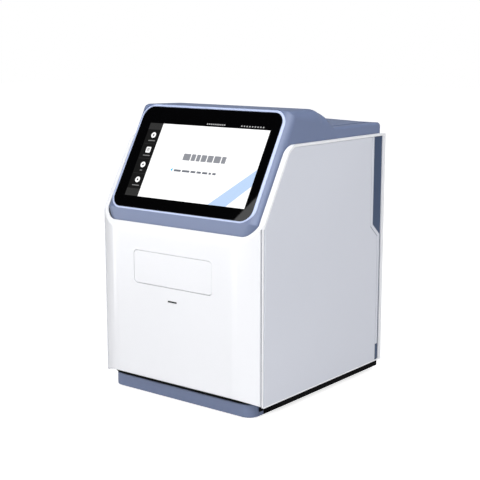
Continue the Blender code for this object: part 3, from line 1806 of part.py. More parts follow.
def main():
    clear_scene()
    white_moulding = surface("white_moulding", white, 0.32)
    cover_plastic = surface("side_cover_plastic", pale_grey, 0.40)
    hood_plastic = surface("blue_grey_moulding", blue_grey, 0.42)
    slate_plastic = surface("slate_trim", slate, 0.45)
    black_plastic = surface("black_plastic", near_black, 0.50)
    glass = surface("black_glass", near_black, 0.06)
    rubber = surface("black_rubber", near_black, 0.85)
    steel = surface("zinc_plated_steel", steel_grey, 0.38, 1.0)
    aluminium = surface("aluminium", steel_grey, 0.45, 1.0)
    circuit = surface("circuit_board", board_green, 0.50)
    paper = surface("paper", paper_white, 0.90)
    grey_plastic = surface("grey_moulding", pale_grey, 0.50)

    make_front_shell(white_moulding)
    make_rear_frame(white_moulding)
    make_hood(hood_plastic)
    make_display(glass, steel)
    for side, word in ((-1, "left"), (1, "right")):
        make_side_cover(side, "side_panel_" + word, cover_plastic)
        make_stripe(side, "side_stripe_" + word, slate_plastic)
        make_rib(side, "edge_rib_" + word, cover_plastic)
        make_upright(side, "frame_side_" + word, steel)
        make_rail(side, "drawer_rail_" + word, steel)
        make_lid_pin(side, "lid_hinge_pin_" + word, steel)
    make_status_window(black_plastic)

    make_plinth(hood_plastic)
    make_base_pan(black_plastic)
    for number, (x, y) in enumerate(foot_places(), start=1):
        make_foot(number, x, y, rubber)
    make_chassis(steel)
    make_top_plate(steel)
    make_heater_plate(aluminium)
    make_optics_block(black_plastic)
    make_lamp_housing(aluminium)
    make_main_board(circuit)
    make_power_supply(aluminium)

    make_drawer_front(white_moulding)
    make_drawer_tray(grey_plastic)
    make_spindle_motor(steel)
    make_disc_hub(grey_plastic)
    make_drawer_motor(steel)
    make_drawer_pinion(grey_plastic)

    make_rear_panel(hood_plastic)
    make_fan_frame(black_plastic)
    make_fan_rotor(black_plastic)
    make_mains_inlet(black_plastic)
    make_switch_frame(black_plastic)
    make_power_rocker(black_plastic)
    make_port_block(steel)

    make_printer_lid(hood_plastic)
    make_printer_well(grey_plastic)
    make_paper_roll(paper)
    make_platen_roller(rubber)
    make_print_head(aluminium)
    make_tear_bar(steel)


main()
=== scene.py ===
"""Gives a packed benchtop chemistry analyzer its finished surfaces, display picture and small fittings.

Laid out as an add-on and run as a script. Metres, +Z up, the front faces -Y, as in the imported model.
"""

import bisect
import json
import math

import bmesh
import bpy
from bpy.props import FloatProperty, FloatVectorProperty, PointerProperty
from mathutils import Matrix, Vector

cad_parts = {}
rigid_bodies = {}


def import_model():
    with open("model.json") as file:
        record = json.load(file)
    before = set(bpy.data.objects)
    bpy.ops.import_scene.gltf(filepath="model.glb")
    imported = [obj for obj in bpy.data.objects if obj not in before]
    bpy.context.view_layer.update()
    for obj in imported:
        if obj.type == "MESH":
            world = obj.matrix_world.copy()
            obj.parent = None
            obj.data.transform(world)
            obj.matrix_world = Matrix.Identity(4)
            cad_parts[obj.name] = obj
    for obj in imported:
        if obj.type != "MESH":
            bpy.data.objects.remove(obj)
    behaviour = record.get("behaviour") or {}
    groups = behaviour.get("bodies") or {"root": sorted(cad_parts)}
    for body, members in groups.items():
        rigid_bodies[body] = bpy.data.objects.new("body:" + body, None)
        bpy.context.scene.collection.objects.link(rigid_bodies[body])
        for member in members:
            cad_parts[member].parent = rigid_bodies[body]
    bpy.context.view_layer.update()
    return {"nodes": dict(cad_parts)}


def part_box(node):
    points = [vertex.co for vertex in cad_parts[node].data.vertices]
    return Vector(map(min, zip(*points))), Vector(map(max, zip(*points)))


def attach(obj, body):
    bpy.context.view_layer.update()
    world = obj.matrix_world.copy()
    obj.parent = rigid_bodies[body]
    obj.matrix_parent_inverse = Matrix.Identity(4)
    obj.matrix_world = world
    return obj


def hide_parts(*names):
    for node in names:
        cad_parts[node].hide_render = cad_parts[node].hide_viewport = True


bl_info = {
    "name": "Benchtop analyzer finish",
    "version": (1, 0, 0),
    "blender": (4, 5, 0),
    "location": "3D Viewport > Sidebar > Analyzer",
    "description": "Dresses the packed analyzer with fine mouldings, glass, display picture and finishes",
    "category": "Object",
}

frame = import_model()
shell_low, shell_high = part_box("front_shell")
rear_low, rear_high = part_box("rear_frame")
cover_low, cover_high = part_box("side_panel_right")
hood_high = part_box("hood")[1]

mm = 0.001  # a millimetre in metres
seat_gap = 0.3 * mm  # between pieces that are seated on each other
overrun = 3 * mm  # how far a cutting shape reaches past what it cuts
door_radius = 4 * mm  # corners of the drawer door
crease = cover_low.y - seat_gap  # where the front's curved corners end and the side covers start
sides = ((-1, "left"), (1, "right"))


def linear(code):
    """A colour written as six hexadecimal digits, as linear red, green and blue."""
    parts = [int(code[k : k + 2], 16) / 255 for k in (0, 2, 4)]
    return tuple(part / 12.92 if part <= 0.04045 else ((part + 0.055) / 1.055) ** 2.4 for part in parts)


def length_value(name, description, size):
    return FloatProperty(name=name, description=description, default=size, unit="LENGTH", precision=5)


def power_value(name, description, power):
    return FloatProperty(name=name, description=description, default=power, unit="POWER")


def colour_value(name, description, code):
    return FloatVectorProperty(
        name=name, description=description, default=linear(code), subtype="COLOR", size=3
    )


class AnalyzerBodySizes(bpy.types.PropertyGroup):
    slant: FloatProperty(
        name="Slant",
        description="How far the display face leans back",
        default=math.radians(30),
        unit="ROTATION",
    )
    corner_reach: length_value("Corner reach", "Width of the front's curved corner", 0.033)
    ledge_front: length_value("Ledge height", "Height at which the hood's ledge starts", 0.178)
    ledge_setback: length_value("Ledge setback", "How far the ledge lies behind the front", 0.0065)
    ledge_radius: length_value("Ledge radius", "Rounding from the ledge into the slanted lip", 0.010)
    underside_rise: length_value("Underside rise", "How far the front's lower edge rises", 0.0067)
    roll_height: length_value("Roll height", "Height of the rolled top edge", 0.0085)
    roll_radius: length_value("Roll radius", "Radius of the rolled top edge", 0.008)
    lip_thickness: length_value("Lip thickness", "Thickness of the lip over the side covers", 0.0022)
    lip_round: length_value("Lip round", "Rounding of the lip's outer edge", 0.0012)
    shoulder_radius: length_value("Shoulder radius", "Radius of the side covers' upper front corner", 0.015)
    wall: length_value("Wall", "Thickness of the outer mouldings", 0.003)
    hood_joint: length_value("Hood joint", "Width of the joint between hood and lip", 0.001)
    door_joint: length_value("Door joint", "Width of the joint round the drawer door", 0.0004)
    # The side rims are painted shadow: black pieces where the shade under the side covers falls
    rim_height: length_value("Rim height", "How far the black rim reaches down under the side covers", 0.008)
    bead: length_value("Bead", "Radius of the bead beside and under the side covers", 0.0007)
    door_edge: length_value("Door edge", "Rounding of the drawer door's edges", 0.0008)


class AnalyzerHoodSizes(bpy.types.PropertyGroup):
    apron_top: length_value("Apron top", "Height of the apron's upper edge", 0.1896)
    apron_radius: length_value("Apron radius", "Rounding between apron and display face", 0.003)
    crown: length_value("Crown", "Height of the hood over the display", 0.2908)
    crown_radius: length_value("Crown radius", "Rounding over the display", 0.005)
    crown_fall: length_value("Crown fall", "How much the top falls to the rear", 0.0010)
    hump_rear: length_value("Hump rear", "Where the top turns down to the deck", 0.008)
    hump_radius: length_value("Hump radius", "Radius of that turn", 0.030)
    deck_front: length_value("Deck front", "Where the rear deck starts", 0.024)
    deck_top: length_value("Deck top", "Height of the rear deck", 0.2707)
    rear_margin: length_value("Rear margin", "How far the hood ends before the rear", 0.002)
    skirt: length_value("Skirt", "How deep the hood reaches under its ledge", 0.006)
    foot_side: length_value("Foot side radius", "Side rounding at the hood's hidden foot", 0.026)
    apron_side: length_value("Apron side radius", "Side rounding at the apron", 0.011)
    slope_side: length_value("Slope side radius", "Side rounding at the display", 0.009)
    hump_side: length_value("Hump side radius", "Side rounding at the hump", 0.016)
    deck_side: length_value("Deck side radius", "Side rounding at the deck", 0.003)
    front_wall: length_value("Front wall", "Thickness of apron and display face", 0.005)
    wall: length_value("Wall", "Thickness of the hood's other walls", 0.0025)
    deck_wall: length_value("Deck wall", "Thickness of the rear deck", 0.0085)
    lid_depth: length_value("Lid recess", "Depth of the printer lid's recess", 0.0062)


class AnalyzerDisplaySizes(bpy.types.PropertyGroup):
    glass_width: length_value("Glass width", "Width of the front glass", 0.178)
    glass_length: length_value("Glass length", "Length of the front glass along the slope", 0.112)
    glass_thickness: length_value("Glass thickness", "Thickness of the front glass", 0.0018)
    glass_radius: length_value("Glass radius", "Corner radius of the front glass", 0.012)
    glass_margin: length_value("Glass margin", "From the apron's edge to the glass", 0.002)
    glass_sink: length_value("Glass sink", "How deep the glass lies in its pocket", 0.0002)
    window_rim: length_value("Window rim", "How far the glass overlaps the hood's window", 0.006)
    ring_width: length_value("Ring width", "Width of the trim ring round the glass", 0.0032)
    ring_rise: length_value("Ring rise", "How far the trim ring stands proud", 0.0004)
    picture_left: length_value("Picture left", "Left edge of the lit picture", -0.0754)
    picture_right: length_value("Picture right", "Right edge of the lit picture", 0.0784)
    picture_low: length_value("Picture low", "Lower edge of the lit picture", -0.0436)
    picture_high: length_value("Picture high", "Upper edge of the lit picture", 0.0374)
    bar_width: length_value("Bar width", "Width of the picture's side bar", 0.0178)


class AnalyzerColours(bpy.types.PropertyGroup):
    white: colour_value("White", "Front and rear mouldings", "f2f3f6")
    cover: colour_value("Side covers", "Painted side covers", "d6d9e2")
    hood: colour_value("Hood", "Hood, deck, lid and plinth", "6f7c9c")
    # The trim ring's pale blue is a painted highlight on the hood's rounded edge round the glass
    ring: colour_value("Trim ring", "Ring round the glass", "becbec")
    slate: colour_value("Slate", "Trim strips at the side covers' rear", "374a69")
    black: colour_value("Black", "Base pan and small black parts", "0d0d0f")


class AnalyzerStageSettings(bpy.types.PropertyGroup):
    floor_size: length_value("Floor size", "Width of the pale floor", 12.0)
    key_power: power_value("Key", "Power of the front lamp", 34.0)
    side_power: power_value("Side", "Power of the lamp on the right", 1.8)
    top_power: power_value("Top", "Power of the lamp above", 12.5)
    even_light: FloatProperty(name="Even light", description="Strength of light from all round", default=0.42)
    floor_glow: FloatProperty(name="Floor glow", description="White that only the eye gets", default=0.78)


# Outlines: corners are (u, v, radius), anticlockwise


def rounded(corners, steps=10):
    """The outline through the corners, each one replaced by an arc of its radius."""
    points = []
    for index, (u, v, radius) in enumerate(corners):
        corner = Vector((u, v))
        if not radius:
            points.append(corner)
            continue
        before = (Vector(corners[index - 1][:2]) - corner).normalized()
        after = (Vector(corners[(index + 1) % len(corners)][:2]) - corner).normalized()
        half_angle = before.angle(after) / 2
        centre = corner + (before + after).normalized() * radius / math.sin(half_angle)
        first = corner + before * radius / math.tan(half_angle) - centre
        last = corner + after * radius / math.tan(half_angle) - centre
        turn = first.angle_signed(last)
        for step in range(steps + 1):
            angle = math.atan2(first.y, first.x) - turn * step / steps
            points.append(centre + Vector((math.cos(angle), math.sin(angle))) * radius)
    return points


def shrunk(corners, distance):
    """The same corners with every edge moved inwards by a distance."""
    moved = []
    count = len(corners)
    for index in range(count):
        before = Vector(corners[index - 1][:2])
        here = Vector(corners[index][:2])
        after = Vector(corners[(index + 1) % count][:2])
        along_a = (here - before).normalized()
        along_b = (after - here).normalized()
        inward_a = Vector((-along_a.y, along_a.x))
        bisector = (inward_a + Vector((-along_b.y, along_b.x))).normalized()
        corner = here + bisector * distance / bisector.dot(inward_a)
        radius = corners[index][2]
        if radius:
            radius = max(radius - distance, 0.0) if along_a.cross(along_b) > 0 else radius + distance
        moved.append((corner.x, corner.y, radius))
    return moved


def rectangle(u_low, v_low, u_high, v_high, radius=0.0):
    corners = ((u_low, v_low), (u_high, v_low), (u_high, v_high), (u_low, v_high))
    return [(*corner, radius) for corner in corners]


def circle(u, v, radius, sides=48):
    turn = 2 * math.pi / sides
    return [Vector((u + radius * math.cos(k * turn), v + radius * math.sin(k * turn))) for k in range(sides)]


# Meshes

crisp_degrees = 32  # faces that meet at more than this keep an edge between them


def mesh_object(name, verts, faces):
    mesh = bpy.data.meshes.new(name)
    mesh.from_pydata([tuple(vert) for vert in verts], [], faces)
    working = bmesh.new()
    working.from_mesh(mesh)
    bmesh.ops.recalc_face_normals(working, faces=working.faces)
    working.to_mesh(mesh)
    working.free()
    made = bpy.data.objects.new(name, mesh)
    bpy.context.scene.collection.objects.link(made)
    return made


def loft(name, loops, closed=False):
    """A solid through loops of equal count, with a face on each end or closed on itself."""
    count, levels = len(loops[0]), len(loops)
    verts = [vert for loop in loops for vert in loop]
    faces = [] if closed else [tuple(range(count)), tuple(range((levels - 1) * count, levels * count))]
    for level in range(levels if closed else levels - 1):
        low, high = level * count, (level + 1) % levels * count
        for k in range(count):
            after = (k + 1) % count
            faces.append((low + k, low + after, high + after, high + k))
    return mesh_object(name, verts, faces)


def prism(name, axis, outline, low, high):
    """A straight solid: the outline lies across the axis, as (y, z), (x, z) or (x, y)."""
    place = {
        "X": lambda point, depth: (depth, point[0], point[1]),
        "Y": lambda point, depth: (point[0], depth, point[1]),
        "Z": lambda point, depth: (point[0], point[1], depth),
    }[axis]
    return loft(name, [[place(point, depth) for point in outline] for depth in (low, high)])


def layered(name, levels, closed=False):
    """A solid through outlines of equal count in (x, y), each given with its height."""
    loops = [[(point[0], point[1], height) for point in outline] for outline, height in levels]
    return loft(name, loops, closed)


def box(name, low, high):
    return prism(name, "Z", rounded(rectangle(low[0], low[1], high[0], high[1])), low[2], high[2])


def bake(target):
    """Makes the result of the target's modifiers its own mesh."""
    graph = bpy.context.evaluated_depsgraph_get()
    graph.update()
    result = bpy.data.meshes.new_from_object(target.evaluated_get(graph))
    target.modifiers.clear()
    target.data = result
    result.name = target.name
    if not result.polygons:
        raise RuntimeError(target.name + " lost its surface")
    return target


def combine(target, tool, operation="DIFFERENCE"):
    """Cuts the target with a tool, or keeps what they share, and removes the tool."""
    change = target.modifiers.new("shape", "BOOLEAN")
    change.operation = operation
    change.object = tool
    change.solver = "EXACT"
    bake(target)
    bpy.data.objects.remove(tool, do_unlink=True)
    return target


def add_bevel(target, width, segments, degrees):
    rounding = target.modifiers.new("edges", "BEVEL")
    rounding.width = width
    rounding.segments = segments
    rounding.limit_method = "ANGLE"
    rounding.angle_limit = math.radians(degrees)


def add_normals(target):
    """Keeps flat faces flat in the shading, up to their rounded edges."""
    level = target.modifiers.new("normals", "WEIGHTED_NORMAL")
    level.keep_sharp = True


def soften(target, width, segments=3, degrees=35):
    """Rounds the edges between faces that meet at more than an angle."""
    add_bevel(target, width, segments, degrees)
    return bake(target)


def smooth(target, degrees=crisp_degrees):
    """Shades curved surfaces smooth between their crisp edges."""
    target.data.shade_smooth()
    target.data.set_sharp_from_angle(angle=math.radians(degrees))
    add_normals(target)
    return bake(target)


def dress(piece, material, slot, *nodes, body="main_body"):
    """Gives a new piece its finish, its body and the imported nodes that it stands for."""
    piece.data.materials.clear()
    piece.data.materials.append(finish(material))
    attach(piece, body)
    if nodes:
        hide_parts(*nodes)
    return piece


# Finishes


def add_node(tree, kind, inputs=None, **settings):
    """Adds a node with its settings, its constant inputs and its links."""
    node = tree.nodes.new(kind)
    for name, value in settings.items():
        setattr(node, name, value)
    for name, value in (inputs or {}).items():
        if isinstance(value, bpy.types.NodeSocket):
            tree.links.new(value, node.inputs[name])
        else:
            node.inputs[name].default_value = value
    return node


def new_finish(name, colour, roughness, **constants):
    """A material with one shader, whose constant values sit on the shader's own sockets."""
    made = bpy.data.materials.new(name)
    made.use_nodes = True
    made.diffuse_color = (*colour, 1.0)
    shader = made.node_tree.nodes["Principled BSDF"]
    shader.inputs["Base Color"].default_value = (*colour, 1.0)
    shader.inputs["Roughness"].default_value = roughness
    for socket, value in constants.items():
        shader.inputs[socket.replace("_", " ")].default_value = value
    return made, made.node_tree, shader


def vary(
    shader, pattern, tones=(), gloss=(), depth=0.0, strength=0.5, limits=(0.0, 1.0), socket="Base Color"
):
    """Lets a pattern drive the shader's colour between two tones, its roughness and its relief.

    The relief's depth is in millimetres, and the roughness changes while the pattern is within its limits.
    """
    tree = shader.id_data
    if tones:
        darker, lighter = ((*tone, 1.0) for tone in tones)
        tone = add_node(tree, "ShaderNodeMix", {"Factor": pattern, 6: darker, 7: lighter}, data_type="RGBA")
        tree.links.new(tone.outputs[2], shader.inputs[socket])
    if gloss:
        ends = dict(zip(("From Min", "From Max", "To Min", "To Max"), (*limits, *gloss)))
        spread = add_node(tree, "ShaderNodeMapRange", {"Value": pattern, **ends})
        tree.links.new(spread.outputs["Result"], shader.inputs["Roughness"])
    if depth:
        relief = {"Height": pattern, "Strength": strength, "Distance": depth * mm}
        tree.links.new(add_node(tree, "ShaderNodeBump", relief).outputs["Normal"], shader.inputs["Normal"])


def grained(name, colour, roughness, grain, depth, drift, spread, **constants):
    """A surface with a fine grain, a slow drift of tone and patches that are a little glossier.

    The grain's width and depth are in millimetres, the drift is a share of the colour.
    """
    made, tree, shader = new_finish(name, colour, roughness, **constants)
    place = add_node(tree, "ShaderNodeTexCoord").outputs["Object"]
    grid = {"Vector": place, "Scale": 1 / (grain * mm), "Detail": 2.0, "Roughness": 0.5}
    vary(shader, add_node(tree, "ShaderNodeTexNoise", grid).outputs["Fac"], depth=depth)
    slow = add_node(tree, "ShaderNodeTexNoise", {"Vector": place, "Scale": 1 / (90 * mm), "Detail": 1.0})
    darker = tuple(part * (1 - drift) for part in colour)
    lighter = tuple(min(part * (1 + drift), 1.0) for part in colour)
    gloss = (roughness - spread, roughness + spread)
    vary(shader, slow.outputs["Fac"], (darker, lighter), gloss, limits=(0.3, 0.7))
    return made


def make_finishes(colours):
    """Every finish on the machine, by the name of what it is made of and how."""
    made = {
        # Glossy injection moulding: even white with a soft sheen and a spark-eroded grain of about 0.5 mm
        "white": grained("abs_white_moulded", colours.white, 0.30, 0.5, 0.004, 0.008, 0.03),
        # Powder coat on sheet: pale grey, low sheen, orange peel with waves of about 1.2 mm
        "cover": grained("powder_coat_pale_grey", colours.cover, 0.42, 1.2, 0.012, 0.02, 0.04),
        # Textured injection moulding: blue grey with a satin sheen that lightens edges
        "hood": grained("abs_blue_grey_moulded", colours.hood, 0.38, 0.6, 0.010, 0.02, 0.04),
        # Smooth pale blue round the glass: a painted highlight, over a real raised edge, for the light that
        # the hood's rounded edge catches
        "ring": grained("trim_ring_painted_highlight", colours.ring, 0.22, 0.5, 0.002, 0.01, 0.03),
        # Satin foil on a strip: dark slate, almost no grain
        "slate": grained("foil_strip_slate", colours.slate, 0.36, 0.4, 0.003, 0.02, 0.04),
        # Matt injection moulding: near black that keeps a faint sheen
        "black": grained("abs_black_moulded", colours.black, 0.50, 0.6, 0.010, 0.05, 0.05),
        # Painted shadow: dead black with almost no sheen. The rims under the mouldings stand for shade alone,
        # and on the black base pan it deepens the pan's own black to shade
        "shadow_black": grained(
            "painted_shadow_black", linear("0a0a0b"), 0.9, 0.8, 0.02, 0.1, 0.05, Specular_IOR_Level=0.1
        ),
        # Moulded rubber: black, dull, slightly dusty
        "rubber": grained("rubber_black_moulded", linear("232326"), 0.82, 0.8, 0.015, 0.12, 0.05),
        # Inner moulding of drawer and printer bucket: light grey with a satin sheen
        "grey": grained("abs_grey_moulded", linear("c9ccd2"), 0.45, 0.6, 0.008, 0.02, 0.04),
        # Acetal gears and hubs: ivory white with a waxy sheen
        "acetal": grained("acetal_natural_moulded", linear("eeebe2"), 0.35, 0.4, 0.003, 0.02, 0.03),
        "steel": zinc_finish(),
        "aluminium": brushed_finish(),
        "glass": glass_finish(),
        "board": board_finish(),
        "paper": paper_finish(),
    }
    for name, code, light in (
        ("lcd_white", "ffffff", 0.95),
        ("lcd_dark_grey", "181818", 1.0),
        ("lcd_mid_grey", "303030", 1.0),
        ("lcd_heading_grey", "8a8c92", 1.0),
        ("lcd_soft_ink", "6f727a", 1.0),
        ("lcd_label_grey", "787878", 1.0),
        ("lcd_status_grey", "b0b0b0", 1.0),
        ("lcd_cyan", "22b4f0", 1.0),
        ("lcd_ribbon_blue", "b4cbe9", 1.0),
    ):
        made[name] = lit_finish(name, code, light)
    return made


def zinc_finish():
    """Zinc plated sheet steel: a bright grey metal with faint crystal flakes some 4 mm across."""
    made, tree, shader = new_finish("steel_zinc_plated", linear("b4b8bd"), 0.34, Metallic=1.0)
    place = add_node(tree, "ShaderNodeTexCoord").outputs["Object"]
    flakes = add_node(tree, "ShaderNodeTexVoronoi", {"Vector": place, "Scale": 1 / (4 * mm)})
    vary(shader, flakes.outputs["Color"], (linear("a3a7ad"), linear("c3c7cc")), (0.28, 0.42))
    return made


def brushed_finish():
    """Brushed aluminium: fine lines along X, drawn 0.3 mm apart so that they show."""
    made, tree, shader = new_finish("aluminium_brushed", linear("c6c8cb"), 0.36, Metallic=1.0)
    place = add_node(tree, "ShaderNodeTexCoord").outputs["Object"]
    # Squeezed along X, the grain becomes lines some thirty times as long as they are wide
    squeezed = add_node(tree, "ShaderNodeMapping", {"Vector": place, "Scale": (0.03, 1.0, 1.0)})
    grid = {"Vector": squeezed.outputs["Vector"], "Scale": 1 / (0.3 * mm), "Detail": 3.0}
    lines = add_node(tree, "ShaderNodeTexNoise", grid)
    vary(shader, lines.outputs["Fac"], gloss=(0.26, 0.48), depth=0.004, strength=0.3)
    return made


def glass_finish():
    """Float glass printed black behind: deep black under a clear polished face, with faint smears."""
    made, tree, shader = new_finish("float_glass_printed_black", linear("020203"), 0.04, IOR=1.52)
    place = add_node(tree, "ShaderNodeTexCoord").outputs["Object"]
    smears = add_node(tree, "ShaderNodeTexNoise", {"Vector": place, "Scale": 1 / (30 * mm), "Detail": 3.0})
    vary(shader, smears.outputs["Fac"], gloss=(0.01, 0.03))
    return made


def board_finish():
    """Circuit board: green solder mask in paler and darker fields, with black chips on its outer side."""
    made, tree, shader = new_finish("laminate_solder_mask_green", linear("1f6b45"), 0.35)
    chip_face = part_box("main_board")[1].x - 1.5 * mm  # what lies further out is chips
    place = add_node(tree, "ShaderNodeTexCoord").outputs["Object"]
    split = add_node(tree, "ShaderNodeSeparateXYZ", {"Vector": place})
    raised = add_node(tree, "ShaderNodeMath", {0: split.outputs["X"], 1: chip_face}, operation="GREATER_THAN")
    traces = add_node(tree, "ShaderNodeTexBrick", {"Vector": place, "Scale": 1 / (20 * mm)})
    for socket, code in (("Color1", "1f6b45"), ("Color2", "257a50"), ("Mortar", "2f8c5f")):
        traces.inputs[socket].default_value = (*linear(code), 1.0)
    tones = {"Factor": raised.outputs[0], 6: traces.outputs["Color"], 7: (*linear("202124"), 1.0)}
    tone = add_node(tree, "ShaderNodeMix", tones, data_type="RGBA")
    tree.links.new(tone.outputs[2], shader.inputs["Base Color"])
    return made


def paper_finish():
    """Coated thermal paper: smooth white, whose wound edge shows faint rings.

    Real layers are too thin to show, so the rings are drawn about 3.8 mm apart.
    """
    low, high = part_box("paper_roll")
    ring_pitch = 1.2 * math.pi * mm
    wave_pitch = 2 * math.pi / 20  # of the wave texture at a scale of 1
    made, tree, shader = new_finish("paper_thermal_coated", linear("f2f1ec"), 0.75)
    place = add_node(tree, "ShaderNodeTexCoord").outputs["Object"]
    centred = add_node(tree, "ShaderNodeMapping", {"Vector": place, "Location": tuple((low + high) / -2)})
    waves = {"Vector": centred.outputs["Vector"], "Scale": wave_pitch / ring_pitch, "Distortion": 0.4}
    rings = add_node(tree, "ShaderNodeTexWave", waves, wave_type="RINGS", rings_direction="X")
    vary(shader, rings.outputs["Fac"], (linear("dddbd4"), linear("f6f5f1")))
    return made


def lit_finish(name, code, light):
    """A lit area of a liquid crystal picture behind glass: even colour, whose back light falls a little."""
    colour = linear(code)
    unlit, fallen = tuple(part * 0.2 for part in colour), tuple(part * 0.97 for part in colour)
    made, tree, shader = new_finish(name, unlit, 0.05, IOR=1.52, Emission_Strength=light)
    place = add_node(tree, "ShaderNodeTexCoord").outputs["Object"]
    cloud = add_node(tree, "ShaderNodeTexNoise", {"Vector": place, "Scale": 1 / (50 * mm), "Detail": 0.0})
    vary(shader, cloud.outputs["Fac"], (fallen, colour), socket="Emission Color")
    return made


finishes = {}


def finish(name):
    if not finishes:
        finishes.update(make_finishes(bpy.context.scene.analyzer_colours))
    return finishes[name]


def edge_group():
    """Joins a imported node's split corners and shades it smooth between its real edges."""
    found = bpy.data.node_groups.get("joined_edges")
    if found:
        return found
    group = bpy.data.node_groups.new("joined_edges", "GeometryNodeTree")
    for direction in ("INPUT", "OUTPUT"):
        group.interface.new_socket("Geometry", in_out=direction, socket_type="NodeSocketGeometry")
    start = add_node(group, "NodeGroupInput")
    joined = add_node(
        group, "GeometryNodeMergeByDistance", {"Geometry": start.outputs[0], "Distance": 0.001 * mm}
    )
    soft = add_node(group, "GeometryNodeSetShadeSmooth", {"Geometry": joined.outputs[0]})
    bend = add_node(group, "GeometryNodeInputMeshEdgeAngle")
    sharp = add_node(
        group,
        "FunctionNodeCompare",
        {0: bend.outputs[0], 1: math.radians(crisp_degrees)},
        data_type="FLOAT",
        operation="GREATER_THAN",
    )
    marked = add_node(
        group,
        "GeometryNodeSetShadeSmooth",
        {"Geometry": soft.outputs[0], "Selection": sharp.outputs[0], "Shade Smooth": False},
        domain="EDGE",
    )
    add_node(group, "NodeGroupOutput", {0: marked.outputs[0]})
    return group


def refinish(material, edge, *nodes):
    """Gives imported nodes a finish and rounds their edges, in millimetres, with modifiers only."""
    for node in nodes:
        target = frame["nodes"][node]
        for slot in target.material_slots:
            slot.material = finish(material)
        joined = target.modifiers.new("joined", "NODES")
        joined.node_group = edge_group()
        flat = target.modifiers.new("flat", "DECIMATE")
        flat.decimate_type = "DISSOLVE"
        flat.angle_limit = math.radians(0.5)
        if edge:
            add_bevel(target, edge * mm, 2, crisp_degrees)
        add_normals(target)


# White body

toe_radius = 2 * mm  # the front's lower edge
rear_radius = 3 * mm  # the body's rear edges
lip_degrees = 50  # edges sharper than this are rounded while the body is whole
rim_degrees = 60  # edges sharper than this are rounded once it is cut out


def lip_line(sizes, top, setback=0.0):
    """The slanted lip's y at the ledge and at a height."""
    ledge = shell_low.y + sizes.ledge_setback + setback
    return ledge, ledge + (top - sizes.ledge_front) * math.tan(sizes.slant)


def body_corners(sizes, inset=0.0):
    """The body seen from the side, in (y, z)."""
    front, rear, top, bottom = shell_low.y, rear_high.y, rear_high.z, rear_low.z
    ledge, slope_top = lip_line(sizes, top)
    corners = [
        (front, bottom + sizes.underside_rise, toe_radius),
        (crease, bottom, 0.0),
        (rear, bottom, 0.0),
        (rear, top, rear_radius),
        (slope_top, top, sizes.shoulder_radius + sizes.lip_thickness),
        (ledge, sizes.ledge_front, sizes.ledge_radius),
        (front, sizes.ledge_front - sizes.roll_height, sizes.roll_radius),
    ]
    return shrunk(corners, inset) if inset else corners


def body_plan(sizes, inset, steps=26):
    """The body seen from above, in (x, y): a flat front with curved corners that end at the crease."""
    half, front, rear = shell_high.x, shell_low.y, rear_high.y
    depth = crease - front
    flat = half - sizes.corner_reach
    full = (sizes.corner_reach**2 + depth**2) / (2 * depth)
    radius = full - inset
    sweep = math.asin((half - inset - flat) / radius)
    arc = []
    for step in range(steps + 1):
        angle = sweep * step / steps
        arc.append((flat + radius * math.sin(angle), front + full - radius * math.cos(angle), 0.0))
    back = [(half - inset, rear - inset, rear_radius), (-half + inset, rear - inset, rear_radius)]
    left = [(-x, y, none) for x, y, none in reversed(arc)]
    return rounded(arc + back + left)


def body_block(name, sizes, inset):
    """The whole body's form, moved inwards by an inset."""
    reach = shell_high.x + overrun
    side = prism(name, "X", rounded(body_corners(sizes, inset)), -reach, reach)
    plan = prism("plan", "Z", body_plan(sizes, inset), rear_low.z - overrun, rear_high.z + overrun)
    return combine(side, plan, "INTERSECT")


def ledge_block(sizes, depth):
    """Everything under the hood's ledge, sunk by a depth."""
    beyond = 2 * bpy.context.scene.analyzer_hood.skirt
    front, rear, top = shell_low.y - beyond, rear_high.y + beyond, rear_high.z
    ledge, slope_top = lip_line(sizes, top)
    corners = [
        (front, -beyond, 0.0),
        (rear, -beyond, 0.0),
        (rear, top, 0.0),
        (slope_top, top, sizes.shoulder_radius + sizes.lip_thickness),
        (ledge, sizes.ledge_front, 0.0),
        (front, sizes.ledge_front, 0.0),
    ]
    reach = shell_high.x + overrun
    return prism("ledge", "X", rounded(shrunk(corners, depth)), -reach, reach)


def shoulder(sizes, setback=0.0, depth=0.0):
    """Height at which the side covers' front edge meets their slanted shoulder."""
    ledge = lip_line(sizes, rear_high.z, depth)[0]
    return sizes.ledge_front + (crease + setback - ledge) / math.tan(sizes.slant)


def cover_corners(sizes, depth, rear, setback=0.0):
    """A side cover's outline in (y, z), with its rear corners given."""
    top, front, sunk = rear_high.z - depth, crease + setback, depth / math.cos(sizes.slant)
    slope_top = lip_line(sizes, top, sunk)[1]
    corner = shoulder(sizes, setback, sunk)
    return [(front, rear_low.z, 0.0), *rear, (slope_top, top, sizes.shoulder_radius), (front, corner, 0.0)]


def node_corners(node, radius, growth=0.0):
    """A node's front view as a rounded rectangle in (x, z), grown by a distance."""
    low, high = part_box(node)
    return shrunk(rectangle(low.x, low.z, high.x, high.z, radius), -growth)


